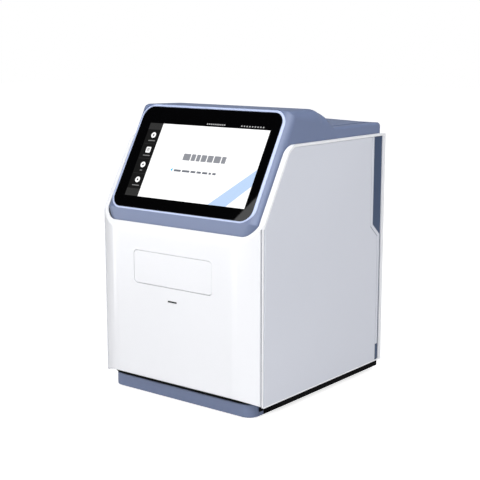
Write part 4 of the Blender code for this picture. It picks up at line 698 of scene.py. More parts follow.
class ANALYZER_OT_front_moulding(bpy.types.Operator):
    """White front moulding with curved corners, a rolled top edge and the lip round the hood"""

    bl_idname = "analyzer.front_moulding"
    bl_label = "Front moulding"

    def execute(self, context):
        sizes = context.scene.analyzer_body
        reach = shell_high.x + overrun
        front, rear = shell_low.y, rear_high.y + overrun
        foot, top = rear_low.z, rear_high.z
        shell = body_block("front_moulding", sizes, 0.0)
        soften(shell, sizes.lip_round, segments=4, degrees=lip_degrees)
        combine(shell, body_block("inside", sizes, sizes.wall))
        corners = cover_corners(
            sizes, sizes.lip_thickness, [(rear, foot, 0.0), (rear, top - sizes.lip_thickness, 0.0)]
        )
        lowered = [(y, z - overrun) if z <= foot + seat_gap else (y, z) for y, z in rounded(corners)]
        combine(shell, prism("covers", "X", lowered, -reach, reach))
        self.cut_rebates(shell, sizes, reach)
        combine(shell, hood_space(context, sizes.hood_joint))
        combine(shell, box("rear", (-reach, rear_low.y - seat_gap, 0.0), (reach, rear, top + overrun)))
        under = foot + 2 * sizes.underside_rise
        combine(shell, prism("flange", "Z", body_plan(sizes, sizes.wall), 0.0, under))
        wall = (front - overrun, front + sizes.wall + overrun)
        door = node_corners("drawer_front", door_radius, sizes.door_joint)
        slot_low, slot_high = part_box("status_window")
        slot = node_corners("status_window", (slot_high.z - slot_low.z) / 3, 0.2 * mm)
        for name, outline in (("door", door), ("slot", slot)):
            combine(shell, prism(name, "Y", rounded(outline), *wall))
        soften(shell, 0.8 * mm, degrees=rim_degrees)
        dress(smooth(shell), "white", "white_moulding", "front_shell")
        self.add_beads(sizes)
        return {"FINISHED"}

    def cut_rebates(self, shell, sizes, reach):
        """Shallow rebates that leave a thin grey line on both sides of the crease's bead."""
        depth, ahead = 4.2 * sizes.bead, 3.6 * sizes.bead
        high = shoulder(sizes) - 4 * mm
        for sign in (-1, 1):
            near, far = sorted((sign * (shell_high.x - depth), sign * reach))
            combine(shell, box("rebate", (near, crease - ahead, 0.0), (far, crease + overrun, high)))

    def add_beads(self, sizes):
        """White beads that run down the crease and along the foot of each side cover."""
        radius, foot = sizes.bead, rear_low.z
        sink, ahead, stretch, level_sink = 1.2 * radius, 1.3 * radius, 1.7, 0.6 * radius
        for sign, word in sides:
            wire = circle(sign * (shell_high.x - sink), 0.0, radius, 20)
            across = [(x, crease - ahead + stretch * y) for x, y in wire]
            upright = prism("bead_upright_" + word, "Z", across, foot, shoulder(sizes) - mm)
            across = circle(sign * (shell_high.x - level_sink), foot - radius / 2, radius, 20)
            level = prism("bead_level_" + word, "Y", across, crease, rear_high.y - radius)
            for bead in (upright, level):
                dress(smooth(bead), "white", "white_moulding")


class ANALYZER_OT_drawer_door(bpy.types.Operator):
    """Flush door of the reagent disc drawer, with finely rounded edges"""

    bl_idname = "analyzer.drawer_door"
    bl_label = "Drawer door"

    def execute(self, context):
        low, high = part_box("drawer_front")
        door = prism("drawer_door", "Y", rounded(node_corners("drawer_front", door_radius)), low.y, high.y)
        soften(door, context.scene.analyzer_body.door_edge, segments=4)
        dress(smooth(door), "white", "white_moulding", "drawer_front", body="drawer")
        return {"FINISHED"}


class ANALYZER_OT_side_covers(bpy.types.Operator):
    """Flat painted side covers with a rounded shoulder and a stepped rear edge"""

    bl_idname = "analyzer.side_covers"
    bl_label = "Side covers"

    def execute(self, context):
        sizes = context.scene.analyzer_body
        lower, upper = rear_high.y - 14 * mm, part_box("edge_rib_right")[0].y - seat_gap
        step_low, step_high = 150.8 * mm, 163 * mm
        rear = [
            (lower, rear_low.z, 0.0),
            (lower, step_low, 0.0),
            (upper, step_high, 0.0),
            (upper, rear_high.z - sizes.lip_thickness, 0.0),
        ]
        corners = cover_corners(sizes, sizes.lip_thickness, rear, 2 * seat_gap)
        outline = rounded(shrunk(corners, seat_gap))
        for sign, word in sides:
            low, high = sorted((sign * cover_high.x, sign * (cover_high.x - sizes.wall)))
            cover = prism("side_cover_" + word, "X", outline, low, high)
            soften(cover, 0.5 * mm)
            dress(smooth(cover), "cover", "side_cover", "side_panel_" + word)
        return {"FINISHED"}


class ANALYZER_OT_side_trim(bpy.types.Operator):
    """Dark strips behind the side covers and the raised rib along their edge"""

    bl_idname = "analyzer.side_trim"
    bl_label = "Side trim"

    def execute(self, context):
        refinish("slate", 0.0, "side_stripe_left", "side_stripe_right")
        refinish("cover", 0.15, "edge_rib_left", "edge_rib_right")
        return {"FINISHED"}


class ANALYZER_OT_rear_moulding(bpy.types.Operator):
    """White rear moulding with rounded edges"""

    bl_idname = "analyzer.rear_moulding"
    bl_label = "Rear moulding"

    def execute(self, context):
        sizes = context.scene.analyzer_body
        reach = rear_high.x + overrun
        ahead, behind = shell_low.y - overrun, rear_high.y + overrun
        moulding = body_block("rear_moulding", sizes, 0.0)
        soften(moulding, sizes.lip_round, segments=4, degrees=lip_degrees)
        combine(moulding, box("front", (-reach, ahead, 0.0), (reach, rear_low.y, rear_high.z + overrun)))
        combine(moulding, hood_space(context, sizes.hood_joint))
        low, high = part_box("rear_panel")
        opening = rectangle(low.x - seat_gap, low.z - seat_gap, high.x + seat_gap, high.z + seat_gap, 5 * mm)
        combine(moulding, prism("opening", "Y", rounded(opening), rear_low.y - overrun, behind))
        soften(moulding, 0.25 * mm, segments=2, degrees=rim_degrees)
        dress(smooth(moulding), "white", "white_moulding", "rear_frame")
        return {"FINISHED"}


# Hood


def hood_corners(context):
    """The hood's side view: (y, z, radius, side radius, wall of the edge that follows)."""
    sizes = context.scene.analyzer_hood
    body = context.scene.analyzer_body
    apron_y = shell_low.y + body.ledge_setback + seat_gap
    crown_y = apron_y + (sizes.crown - sizes.apron_top) * math.tan(body.slant)
    rear_y = rear_high.y - sizes.rear_margin
    foot = body.ledge_front - 4 * sizes.skirt
    hump_foot_radius, rear_edge_radius = 2.5 * mm, 4 * mm
    return [
        (apron_y, foot, 0.0, sizes.foot_side, sizes.front_wall),
        (apron_y, sizes.apron_top, sizes.apron_radius, sizes.apron_side, sizes.front_wall),
        (crown_y, sizes.crown, sizes.crown_radius, sizes.slope_side, sizes.wall),
        (sizes.hump_rear, sizes.crown - sizes.crown_fall, sizes.hump_radius, sizes.hump_side, sizes.wall),
        (sizes.deck_front, sizes.deck_top, hump_foot_radius, sizes.deck_side, sizes.deck_wall),
        (rear_y, sizes.deck_top, rear_edge_radius, sizes.deck_side, sizes.wall),
        (rear_y, foot, 0.0, sizes.deck_side, sizes.wall),
    ]


def inside_corners(context):
    """The same side view inside the walls: each edge moves in by its own wall, and its foot is lower."""
    sizes = context.scene.analyzer_hood
    corners = hood_corners(context)
    edges = []
    for here, after in zip(corners, corners[1:]):
        start = Vector(here[:2])
        along = (Vector(after[:2]) - start).normalized()
        edges.append((start + Vector((along.y, -along.x)) * here[4], along))
    foot = corners[0][1] - sizes.skirt
    places = [Vector((edges[0][0].x, foot))]
    for (start, along), (other, across) in zip(edges, edges[1:]):
        places.append(start + along * (other - start).cross(across) / along.cross(across))
    places.append(Vector((edges[-1][0].x, foot)))
    least = sizes.wall / 2
    return [
        (place.x, place.y, max(radius - wall, least) if radius else 0.0, max(side - sizes.wall, least), wall)
        for place, (_, _, radius, side, wall) in zip(places, corners)
    ]


def blend(value, marks, levels):
    """Interpolation between marks."""
    k = min(max(bisect.bisect_right(marks, value) - 1, 0), len(marks) - 2)
    share = (value - marks[k]) / (marks[k + 1] - marks[k])
    return levels[k] + (levels[k + 1] - levels[k]) * min(max(share, 0.0), 1.0)


def hood_chain(corners, longest=4 * mm):
    """Points along the side view from the front foot to the rear foot, their lengths and side radii."""
    coarse = rounded([corner[:3] for corner in corners], 14)
    points = [coarse[0]]
    for start, end in zip(coarse, coarse[1:]):
        pieces = max(1, math.ceil((end - start).length / longest))
        points += [start.lerp(end, k / pieces) for k in range(1, pieces + 1)]
    lengths = [0.0]
    for start, end in zip(points, points[1:]):
        lengths.append(lengths[-1] + (end - start).length)
    marks = []
    for corner in corners:
        nearest = min(range(len(points)), key=lambda k: (points[k] - Vector(corner[:2])).length)
        marks.append(lengths[nearest])
    radii = [blend(length, marks, [corner[3] for corner in corners]) for length in lengths]
    return points, lengths, radii


def inward_directions(points, lengths, window):
    """The inward direction at each point, averaged over a stretch of the chain."""
    directions = []
    for length in lengths:
        total = Vector((0.0, 0.0))
        for k in range(len(points) - 1):
            low = max(lengths[k], length - window)
            high = min(lengths[k + 1], length + window)
            if high > low:
                along = (points[k + 1] - points[k]).normalized()
                total += Vector((along.y, -along.x)) * (high - low)
        directions.append(total.normalized())
    return directions


def hood_block(context, name, growth, hollow=False, steps=12):
    """The hood's outer block, grown by a clearance, or the space inside its walls."""
    points, lengths, radii = hood_chain(inside_corners(context) if hollow else hood_corners(context))
    grow_window, round_window = 2.5 * mm, 10 * mm
    close = inward_directions(points, lengths, grow_window)
    wide = inward_directions(points, lengths, round_window)
    half = hood_high.x + growth - (context.scene.analyzer_hood.wall if hollow else 0.0)
    points = [point - inward * growth for point, inward in zip(points, close)]
    columns = []
    for sign in (-1, 1):
        order = range(steps, -1, -1) if sign < 0 else range(steps + 1)
        for step in order:
            angle = math.pi / 2 * step / steps
            column = []
            for point, inward, radius in zip(points, wide, radii):
                here = point + inward * radius * (1 - math.cos(angle))
                column.append((sign * (half - radius * (1 - math.sin(angle))), here.x, here.y))
            columns.append(column)
    return loft(name, columns)


def hood_space(context, growth):
    """The hood's outer form down to its skirt, grown by a clearance."""
    space = hood_block(context, "space", growth)
    skirt = context.scene.analyzer_hood.skirt
    return combine(space, ledge_block(context.scene.analyzer_body, skirt + growth))


def display_matrix(context, depth=0.0):
    """The display face's place: X across, Y up the slope, Z out of the glass, the origin at its middle."""
    body = context.scene.analyzer_body
    hood = context.scene.analyzer_hood
    display = context.scene.analyzer_display
    distance = display.glass_margin + display.glass_length / 2
    apron_y = shell_low.y + body.ledge_setback + seat_gap
    y = apron_y + distance * math.sin(body.slant) + depth * math.cos(body.slant)
    z = hood.apron_top + distance * math.cos(body.slant) - depth * math.sin(body.slant)
    return Matrix.Translation((0.0, y, z)) @ Matrix.Rotation(math.pi / 2 - body.slant, 4, "X")


def on_display(context, target, depth=0.0):
    target.data.transform(display_matrix(context, depth))
    return target


def glass_outline(context, growth, steps=20):
    """The glass's outline grown by a distance, which the apron's edge limits below."""
    sizes = context.scene.analyzer_display
    width = sizes.glass_width / 2 + growth
    length = sizes.glass_length / 2
    below = -length - min(growth, sizes.glass_margin)
    return rounded(rectangle(-width, below, width, length + growth, sizes.glass_radius + growth), steps)


class ANALYZER_OT_hood(bpy.types.Operator):
    """Blue-grey hood: swept over its whole width, with the display pocket and the lid recess"""

    bl_idname = "analyzer.hood"
    bl_label = "Hood"

    def execute(self, context):
        sizes = context.scene.analyzer_hood
        hood = hood_block(context, "hood_moulding", 0.0)
        combine(hood, ledge_block(context.scene.analyzer_body, sizes.skirt))
        combine(hood, hood_block(context, "inside", 0.0, hollow=True, steps=6))
        self.cut_display(context, hood)
        self.cut_deck(sizes, hood)
        soften(hood, 0.35 * mm, degrees=40)
        dress(smooth(hood), "hood", "blue_grey_moulding", "hood")
        return {"FINISHED"}

    def cut_display(self, context, hood):
        """The glass's pocket, with a step that the trim ring lies on, and the window through the hood."""
        display = context.scene.analyzer_display
        inner = glass_outline(context, seat_gap, steps=16)
        outer = glass_outline(context, display.ring_width - 0.1 * mm, steps=16)
        floor = -display.glass_sink - display.glass_thickness - seat_gap
        step_low, step_high = -2.0 * mm, -1.8 * mm
        pocket = [(inner, floor), (inner, step_low), (outer, step_high), (outer, overrun)]
        window = glass_outline(context, -display.window_rim, steps=16)
        through = [(window, -2 * context.scene.analyzer_hood.front_wall), (window, overrun)]
        for name, levels in (("pocket", pocket), ("window", through)):
            combine(hood, on_display(context, layered(name, levels)))

    def cut_deck(self, sizes, hood):
        """The lid's recess, the openings for the paper bucket and the lid's ears, and the hinge bores."""
        lid_gap, bore_radius = 0.4 * mm, 1.3 * mm
        bucket_room, bucket_end = 2.9 * mm, 7.5 * mm
        ear_room, ear_end = 4.6 * mm, 7 * mm
        lid_low, lid_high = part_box("printer_lid")
        recess = shrunk(rectangle(lid_low.x, lid_low.y, lid_high.x, lid_high.y), -lid_gap)
        floor = sizes.deck_top - sizes.lid_depth
        combine(hood, prism("recess", "Z", rounded(recess), floor, sizes.deck_top + overrun))
        under = sizes.deck_top - sizes.deck_wall - overrun
        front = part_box("tear_bar")[1].y + seat_gap
        roller_low, roller_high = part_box("platen_roller")
        for half, rear in (
            (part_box("paper_roll")[1].x + bucket_room, lid_high.y - bucket_end),
            (roller_high.x + ear_room, (roller_low.y + roller_high.y) / 2 + ear_end),
        ):
            opening = rounded(rectangle(-half, front, half, rear))
            combine(hood, prism("opening", "Z", opening, under, floor + overrun))
        for _, word in sides:
            low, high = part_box("lid_hinge_pin_" + word)
            bore = circle((low.y + high.y) / 2, (low.z + high.z) / 2, bore_radius)
            combine(hood, prism("bore", "X", bore, low.x - seat_gap, high.x + seat_gap))


class ANALYZER_OT_trim_ring(bpy.types.Operator):
    """Ring round the front glass, its raised edge real and its pale blue a painted highlight on the hood's
    rounded edge
    """

    bl_idname = "analyzer.trim_ring"
    bl_label = "Trim ring"

    def execute(self, context):
        display = context.scene.analyzer_display
        width, rise = display.ring_width, display.ring_rise
        inner, outer, foot = 0.35 * mm, width - 0.15 * mm, -1.7 * mm
        # The ring's section: distance out from the glass's edge, and height over the display face
        section = [
            (inner, foot),
            (inner, 0.1 * mm),
            (0.5 * mm, 0.7 * rise),
            (0.8 * mm, rise),
            (0.45 * width, 0.7 * rise),
            (0.65 * width, -0.1 * mm),
            (0.85 * width, -0.5 * mm),
            (width - 0.17 * mm, -0.85 * mm),
            (outer, -1.1 * mm),
            (outer, foot),
        ]
        levels = [(glass_outline(context, growth), height) for growth, height in section]
        ring = on_display(context, layered("trim_ring", levels, closed=True))
        dress(smooth(ring, degrees=50), "ring", "blue_grey_moulding")
        return {"FINISHED"}


class ANALYZER_OT_front_glass(bpy.types.Operator):
    """Black printed front glass with polished edges"""

    bl_idname = "analyzer.front_glass"
    bl_label = "Front glass"

    def execute(self, context):
        display = context.scene.analyzer_display
        glass = prism("front_glass", "Z", glass_outline(context, 0.0), -display.glass_thickness, 0.0)
        on_display(context, glass, display.glass_sink)
        soften(glass, 0.25 * mm, segments=2)
        dress(smooth(glass), "glass", "display_glass", "display_glass")
        return {"FINISHED"}


# Display picture, in millimetres from the glass's middle


def picture_piece(context, name, outlines, level, material):
    """Thin flat shapes of one colour, joined into one piece that lies a level above the glass."""
    thickness = 0.03
    low = -context.scene.analyzer_display.glass_sink + (0.01 + thickness * level) * mm
    high = low + thickness * mm
    joined = bmesh.new()
    for outline in outlines:
        flat = prism("shape", "Z", [(u * mm, v * mm) for u, v in outline], low, high)
        joined.from_mesh(flat.data)
        bpy.data.objects.remove(flat, do_unlink=True)
    mesh = bpy.data.meshes.new(name)
    joined.to_mesh(mesh)
    joined.free()
    piece = bpy.data.objects.new(name, mesh)
    bpy.context.scene.collection.objects.link(piece)
    dress(on_display(context, piece), material, "display_glass")


def tablet(u_low, v_low, u_high, v_high, radius=0.0):
    return rounded(rectangle(u_low, v_low, u_high, v_high, radius), 6)


def tablet_row(start, widths, gap, low, high, radius):
    """Tablets of these widths in a row, a gap apart."""
    row = []
    for width in widths:
        row.append(tablet(start, low, start + width, high, radius))
        start += width + gap
    return row


def ring_halves(u, v, outer=3.1, inner=1.1, sides=20):
    """A flat ring as two half rings, so that each one has a single outline."""
    halves = []
    for start in (0.0, math.pi):
        arc = [start + math.pi * k / sides for k in range(sides + 1)]
        far = [(u + outer * math.cos(angle), v + outer * math.sin(angle)) for angle in arc]
        near = [(u + inner * math.cos(angle), v + inner * math.sin(angle)) for angle in reversed(arc)]
        halves.append(far + near)
    return halves


class ANALYZER_OT_display_picture(bpy.types.Operator):
    """Lit display picture: side bar with four signs, plain word bars and a diagonal ribbon"""

    bl_idname = "analyzer.display_picture"
    bl_label = "Display picture"

    def execute(self, context):
        display = context.scene.analyzer_display
        left, right = display.picture_left / mm, display.picture_right / mm
        low, high = display.picture_low / mm, display.picture_high / mm
        bar = left + display.bar_width / mm
        middle = (left + bar) / 2 + 0.9
        rows = (24.0, 7.4, -9.2, -25.8)  # heights of the four signs in the side bar
        ring_rows, sheet_row = (rows[0], rows[2], rows[3]), rows[1]
        signs = [half for v in ring_rows for half in ring_halves(middle, v)]
        signs.append(tablet(middle - 3.1, sheet_row - 3.2, middle + 3.1, sheet_row + 3.2, 1.0))
        marks = [
            tablet(middle - 1.9, v - 0.3, middle + 1.9, v + 0.3)
            for v in (sheet_row - 1.4, sheet_row, sheet_row + 1.4)
        ]
        labels = [
            tablet(middle - half, v - 6.8, middle + half, v - 5.8, 0.4)
            for v, half in zip(rows, (4.6, 4.6, 1.6, 4.8))
        ]
        heading_widths = (9.2, 5.4, 4.8, 6.6, 7.0, 8.2, 5.2)
        line_widths = (9.0, 9.6, 6.2, 5.4, 6.6, 3.0, 4.2)
        status = []
        for start, count, pitch in ((-1.0, 10, 2.4), (42.0, 9, 3.3)):
            for k in range(count):
                status.append(tablet(start + k * pitch, 39.4, start + k * pitch + 1.5, 40.7, 0.2))
        bar_ends = [tablet(left, low, bar, low + 8.0), tablet(left, high - 7.2, bar, high)]
        bar_lines = [tablet(left + 1.0, v - 9.9, bar - 1.0, v - 9.6) for v in rows[:3]]
        for name, level, material, outlines in (
            ("page", 0, "white", [tablet(bar, low, right, high)]),
            ("bar", 0, "dark_grey", [tablet(left, low, bar, high)]),
            ("bar_ends", 1, "mid_grey", bar_ends),
            ("bar_lines", 1, "mid_grey", bar_lines),
            ("signs", 1, "white", signs),
            ("sign_marks", 2, "dark_grey", marks),
            ("labels", 1, "label_grey", labels),
            ("heading", 1, "heading_grey", tablet_row(-16.4, heading_widths, 1.3, -0.6, 6.6, 0.8)),
            ("line", 1, "soft_ink", tablet_row(-22.4, line_widths, 1.6, -13.2, -11.0, 0.5)),
            ("tick", 1, "cyan", [[(-27.0, -11.6), (-24.6, -13.6), (-24.6, -9.8)]]),
            ("ribbon", 1, "ribbon_blue", [[(34.0, low), (56.0, low), (right, -20.6), (right, -3.4)]]),
            ("status", 0, "status_grey", status),
        ):
            picture_piece(context, "picture_" + name, outlines, level, "lcd_" + material)
        return {"FINISHED"}


# Base, works and rear


class ANALYZER_OT_base(bpy.types.Operator):
    """Blue-grey plinth, black base pan and black rims in a painted shadow black, rubber feet and the status
    window
    """

    bl_idname = "analyzer.base"
    bl_label = "Base"

    def execute(self, context):
        self.add_rims(context.scene.analyzer_body)
        refinish("hood", 1.2, "plinth")
        # The base pan's own black is deepened to a sheenless black that paints the shade under the side
        # covers
        refinish("shadow_black", 0.8, "base_pan")
        refinish("black", 0.1, "status_window")
        refinish("rubber", 0.0, "foot_1", "foot_2", "foot_3", "foot_4")
        return {"FINISHED"}

    def add_rims(self, sizes):
        """Painted shadow: black rims under the mouldings, put where the joint between mouldings and base only
        falls into shade, so that it shows as a dark line.
        """
        bottom, ahead = rear_low.z, cover_low.y
        pan_low, pan_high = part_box("base_pan")
        outside, inside, above = sizes.wall + 3 * mm, sizes.wall + 4.5 * mm, 30 * mm
        front = prism("front_rim", "Z", body_plan(sizes, outside), bottom + 1.5 * mm, bottom + 10 * mm)
        combine(front, prism("inside", "Z", body_plan(sizes, inside), 0.0, above))
        kept = box("ahead", (pan_low.x, -rear_high.y, 0.0), (pan_high.x, ahead, above))
        dress(smooth(combine(front, kept, "INTERSECT")), "shadow_black", "black_plastic")
        near, wide, rear = pan_high.x + seat_gap, shell_high.x - sizes.wall, rear_high.y - sizes.wall
        # Seen from above the side rims of painted shadow start narrow behind the front's corner and widen to
        # the rear
        corners = [
            (near, ahead + 7 * mm, 0.0),
            (near + mm, ahead + 7 * mm, 0.0),
            (near + 2 * mm, ahead + 16 * mm, 0.0),
            (wide, ahead + 30 * mm, 0.0),
            (wide, rear, rear_radius),
            (near, rear, 0.0),
        ]
        for sign, word in sides:
            outline = rounded([(sign * x, y, radius) for x, y, radius in corners][::sign])
            side = prism("side_rim_" + word, "Z", outline, bottom - sizes.rim_height, bottom - 2 * seat_gap)
            dress(smooth(side), "shadow_black", "black_plastic")


class ANALYZER_OT_drawer_works(bpy.types.Operator):
    """Drawer tray with its rack, hub, pinion, motors and runners"""

    bl_idname = "analyzer.drawer_works"
    bl_label = "Drawer works"

    def execute(self, context):
        refinish("grey", 0.0, "drawer_tray")
        refinish("acetal", 0.0, "disc_hub", "drawer_pinion")
        refinish("steel", 0.1, "spindle_motor", "drawer_motor", "drawer_rail_left", "drawer_rail_right")
        return {"FINISHED"}


class ANALYZER_OT_inner_frame(bpy.types.Operator):
    """Steel chassis, uprights and bridge with the heater, photometer, lamp, board and supply"""

    bl_idname = "analyzer.inner_frame"
    bl_label = "Inner frame"

    def execute(self, context):
        sheets = ("chassis", "frame_side_left", "frame_side_right", "top_plate", "display_module")
        refinish("steel", 0.15, *sheets)
        refinish("aluminium", 0.2, "heater_plate", "lamp_housing", "power_supply")
        refinish("black", 0.2, "optics_block")
        refinish("board", 0.0, "main_board")
        return {"FINISHED"}


class ANALYZER_OT_printer(bpy.types.Operator):
    """Printer lid in the rear deck with the roller, head, tear bar, bucket and paper roll under it"""

    bl_idname = "analyzer.printer"
    bl_label = "Printer"

    def execute(self, context):
        refinish("hood", 0.5, "printer_lid")
        refinish("grey", 0.0, "printer_well")
        refinish("paper", 0.0, "paper_roll")
        refinish("rubber", 0.0, "platen_roller")
        refinish("aluminium", 0.1, "print_head")
        refinish("steel", 0.0, "tear_bar", "lid_hinge_pin_left", "lid_hinge_pin_right")
        return {"FINISHED"}


class ANALYZER_OT_rear_fittings(bpy.types.Operator):
    """Rear plate with fan, mains inlet, switch, data sockets and screws"""

    bl_idname = "analyzer.rear_fittings"
    bl_label = "Rear fittings"

    def execute(self, context):
        refinish("cover", 0.2, "rear_panel")
        refinish("black", 0.15, "fan_frame", "fan_rotor", "mains_inlet", "switch_frame")
        refinish("black", 0.2, "power_rocker")
        refinish("steel", 0.1, "port_block")
        low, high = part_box("rear_panel")
        end_inset, side_inset = 8 * mm, 7 * mm
        rows = (low.z + end_inset, (low.z + high.z) / 2, high.z - end_inset)
        places = [(x, high.y, z) for z in rows for x in (low.x + side_inset, high.x - side_inset)]
        for number, place in enumerate(places, 1):
            self.add_screw("panel_screw_" + str(number), place)
        return {"FINISHED"}

    def add_screw(self, name, place):
        """A pan head screw with a cross recess, its head on the rear plate."""
        head = ((2.8, -0.2), (2.8, 0.4), (2.5, 0.9), (1.8, 1.3), (0.9, 1.5))  # radius, height in millimetres
        screw = layered(name, [(circle(0.0, 0.0, radius * mm, 32), height * mm) for radius, height in head])
        arm_length, arm_width, recess_floor, arm_top, skew = 1.5 * mm, 0.3 * mm, 0.7 * mm, 2.0 * mm, 0.35
        for turn in (0.0, math.pi / 2):
            arm = box("arm", (-arm_length, -arm_width, recess_floor), (arm_length, arm_width, arm_top))
            arm.data.transform(Matrix.Rotation(turn + skew, 4, "Z"))
            combine(screw, arm)
        screw.data.transform(Matrix.Translation(place) @ Matrix.Rotation(-math.pi / 2, 4, "X"))
        dress(smooth(screw), "steel", "steel")


# Stage


def add_lamp(name, place, size, power, middle=(0.0, 0.0, 0.14)):
    """A rectangular lamp that points at the analyzer's middle and that no camera sees."""
    light = bpy.data.lights.new(name, "AREA")
    light.shape = "RECTANGLE"
    light.size, light.size_y = size
    light.energy = power
    lamp = bpy.data.objects.new(name, light)
    bpy.context.scene.collection.objects.link(lamp)
    lamp.visible_camera = False
    lamp.location = place
    lamp.rotation_euler = (Vector(middle) - Vector(place)).to_track_quat("-Z", "Y").to_euler()


class ANALYZER_OT_stage(bpy.types.Operator):
    """Pale floor, soft lamps, plain surroundings and the camera"""

    bl_idname = "analyzer.stage"
    bl_label = "Stage"

    def execute(self, context):
        scene = context.scene
        settings = scene.analyzer_stage
        half = settings.floor_size / 2
        corners = [(-half, -half, 0), (half, -half, 0), (half, half, 0), (-half, half, 0)]
        floor = mesh_object("floor", corners, [(0, 1, 2, 3)])
        floor.data.materials.append(self.floor_finish(settings.floor_glow))
        for name, place, size, power in (
            ("key_lamp", (0.9, -2.0, 1.9), (2.0, 1.4), settings.key_power),
            ("side_lamp", (0.72, -0.05, 0.72), (0.6, 0.5), settings.side_power),
            ("top_lamp", (-0.05, -0.45, 1.85), (1.2, 1.2), settings.top_power),
        ):
            add_lamp(name, place, size, power)
        # Reflected in the front's rolled edges
        left, right = (-0.79, -0.41), (0.35, -1.07)
        self.add_card("low_card", 3.6, (*left, 0.0), (*right, 0.0), (*right, 0.42), (*left, 0.42))
        # Reflected as the pale field across the glass
        left = ((-0.50, -0.586, 0.556), (-0.31, -0.446, 0.816))
        right = ((-0.18, -0.526, 0.766), (-0.37, -0.666, 0.506))
        self.add_card("high_card", 1.6, *left, *right)
        # Reflected in the roundings at the right front corner
        low = ((0.93, -1.04, 0.27), (1.29, -0.52, 0.27))
        high = ((0.92, -0.37, 1.14), (0.66, -0.74, 1.14))
        self.add_card("corner_card", 5.0, *low, *high)
        self.set_surroundings(scene, settings.even_light)
        scene.view_settings.view_transform = "Standard"
        self.add_camera(scene)
        return {"FINISHED"}

    def add_camera(self, scene):
        """The photograph's view: from the front right and a little above."""
        camera = bpy.data.cameras.new("camera")
        camera.lens, camera.sensor_width = 82.7, 36.0
        camera.clip_start, camera.clip_end = 0.05, 60.0
        view = bpy.data.objects.new("camera", camera)
        scene.collection.objects.link(view)
        tilt_down, turn = 10.49, 38.26
        view.location = (0.7028, -0.8973, 0.3603)
        view.rotation_euler = (math.radians(90 - tilt_down), 0.0, math.radians(turn))
        scene.camera = view

    def add_card(self, name, strength, *corners):
        """A white card that shows only in glossy surfaces."""
        card = mesh_object(name, corners, [(0, 1, 2, 3)])
        made, tree, _ = new_finish("card_white_" + name, (1.0, 1.0, 1.0), 0.9)
        glow = add_node(tree, "ShaderNodeEmission", {"Color": (1.0, 1.0, 1.0, 1.0), "Strength": strength})
        tree.links.new(glow.outputs[0], tree.nodes["Material Output"].inputs["Surface"])
        card.data.materials.append(made)
        card.visible_camera = card.visible_diffuse = card.visible_shadow = card.visible_transmission = False

    def floor_finish(self, floor_glow):
        """Seamless white paper: part of its white is only for the eye, so the shadow stays soft and pale."""
        made, tree, shader = new_finish("paper_seamless_white", linear("d8d8da"), 0.9)
        path = add_node(tree, "ShaderNodeLightPath")
        glow = add_node(tree, "ShaderNodeEmission", {"Color": (1.0, 1.0, 1.0, 1.0), "Strength": floor_glow})
        none = add_node(tree, "ShaderNodeEmission", {"Color": (0.0, 0.0, 0.0, 1.0), "Strength": 0.0})
        seen = add_node(
            tree,
            "ShaderNodeMixShader",
            {0: path.outputs["Is Camera Ray"], 1: none.outputs[0], 2: glow.outputs[0]},
        )
        place = add_node(tree, "ShaderNodeTexCoord").outputs["Object"]
        fibre = add_node(tree, "ShaderNodeTexNoise", {"Vector": place, "Scale": 1 / (2 * mm)})
        vary(shader, fibre.outputs["Fac"], depth=0.02, strength=0.1)
        both = add_node(tree, "ShaderNodeAddShader", {0: shader.outputs[0], 1: seen.outputs[0]})
        tree.links.new(both.outputs[0], tree.nodes["Material Output"].inputs["Surface"])
        return made

    def set_surroundings(self, scene, even_light):
        """White for the eye, grey near the horizon in reflections, and a dim even light for the rest."""
        world = scene.world or bpy.data.worlds.new("World")
        scene.world = world
        world.use_nodes = True
        tree = world.node_tree
        path = add_node(tree, "ShaderNodeLightPath")
        place = add_node(tree, "ShaderNodeTexCoord").outputs["Generated"]
        split = add_node(tree, "ShaderNodeSeparateXYZ", {"Vector": place})
        # Reflections see a grey that fades from low down to overhead
        fade = {"From Min": 0.15, "From Max": 0.45, "To Min": 0.4, "To Max": 0.02}
        rise = add_node(
            tree, "ShaderNodeMapRange", {"Value": split.outputs["Z"], **fade}, interpolation_type="SMOOTHSTEP"
        )
        white = add_node(tree, "ShaderNodeBackground", {"Color": (1.0, 1.0, 1.0, 1.0), "Strength": 1.0})
        mirror = add_node(tree, "ShaderNodeBackground", {"Strength": rise.outputs["Result"]})
        even = add_node(tree, "ShaderNodeBackground", {"Color": (1.0, 1.0, 1.0, 1.0), "Strength": even_light})
        glossy = add_node(
            tree,
            "ShaderNodeMixShader",
            {0: path.outputs["Is Glossy Ray"], 1: even.outputs[0], 2: mirror.outputs[0]},
        )
        straight = {0: path.outputs["Is Camera Ray"], 1: path.outputs["Is Transmission Ray"]}
        clear = add_node(tree, "ShaderNodeMath", straight, operation="MAXIMUM")
        seen = add_node(
            tree, "ShaderNodeMixShader", {0: clear.outputs[0], 1: glossy.outputs[0], 2: white.outputs[0]}
        )
        tree.links.new(seen.outputs[0], tree.nodes["World Output"].inputs["Surface"])


class ANALYZER_PT_pieces(bpy.types.Panel):
    """Lists the operators that make the analyzer's pieces"""

    bl_label = "Analyzer"
    bl_idname = "ANALYZER_PT_pieces"
    bl_space_type = "VIEW_3D"
    bl_region_type = "UI"
    bl_category = "Analyzer"

    def draw(self, context):
        for operator in piece_operators:
            self.layout.operator(operator.bl_idname)


piece_operators = (
    ANALYZER_OT_front_moulding,
    ANALYZER_OT_drawer_door,
    ANALYZER_OT_side_covers,
    ANALYZER_OT_side_trim,
    ANALYZER_OT_rear_moulding,
    ANALYZER_OT_hood,
    ANALYZER_OT_trim_ring,
    ANALYZER_OT_front_glass,
    ANALYZER_OT_display_picture,
    ANALYZER_OT_base,
    ANALYZER_OT_drawer_works,
    ANALYZER_OT_inner_frame,
    ANALYZER_OT_printer,
    ANALYZER_OT_rear_fittings,
    ANALYZER_OT_stage,
)

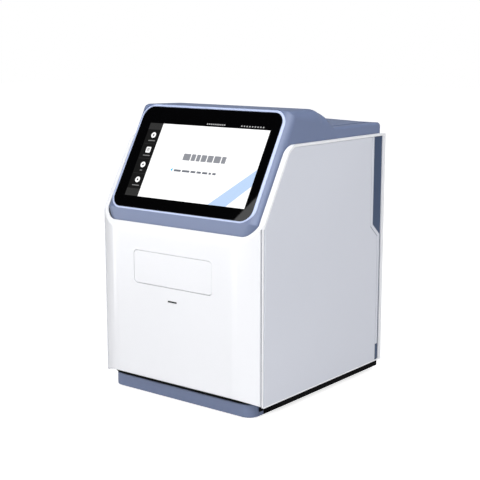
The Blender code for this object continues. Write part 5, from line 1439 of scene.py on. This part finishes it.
property_groups = {
    "analyzer_body": AnalyzerBodySizes,
    "analyzer_hood": AnalyzerHoodSizes,
    "analyzer_display": AnalyzerDisplaySizes,
    "analyzer_colours": AnalyzerColours,
    "analyzer_stage": AnalyzerStageSettings,
}


def register():
    for name, group in property_groups.items():
        bpy.utils.register_class(group)
        setattr(bpy.types.Scene, name, PointerProperty(type=group))
    for operator in piece_operators:
        bpy.utils.register_class(operator)
    bpy.utils.register_class(ANALYZER_PT_pieces)


def unregister():
    bpy.utils.unregister_class(ANALYZER_PT_pieces)
    for operator in reversed(piece_operators):
        bpy.utils.unregister_class(operator)
    for name, group in reversed(property_groups.items()):
        delattr(bpy.types.Scene, name)
        bpy.utils.unregister_class(group)


def main():
    for item in [item for item in bpy.data.objects if item.name in ("Cube", "Light", "Camera")]:
        bpy.data.objects.remove(item, do_unlink=True)
    register()
    for operator in piece_operators:
        group, name = operator.bl_idname.split(".")
        getattr(getattr(bpy.ops, group), name)()


if __name__ == "__main__":
    main()
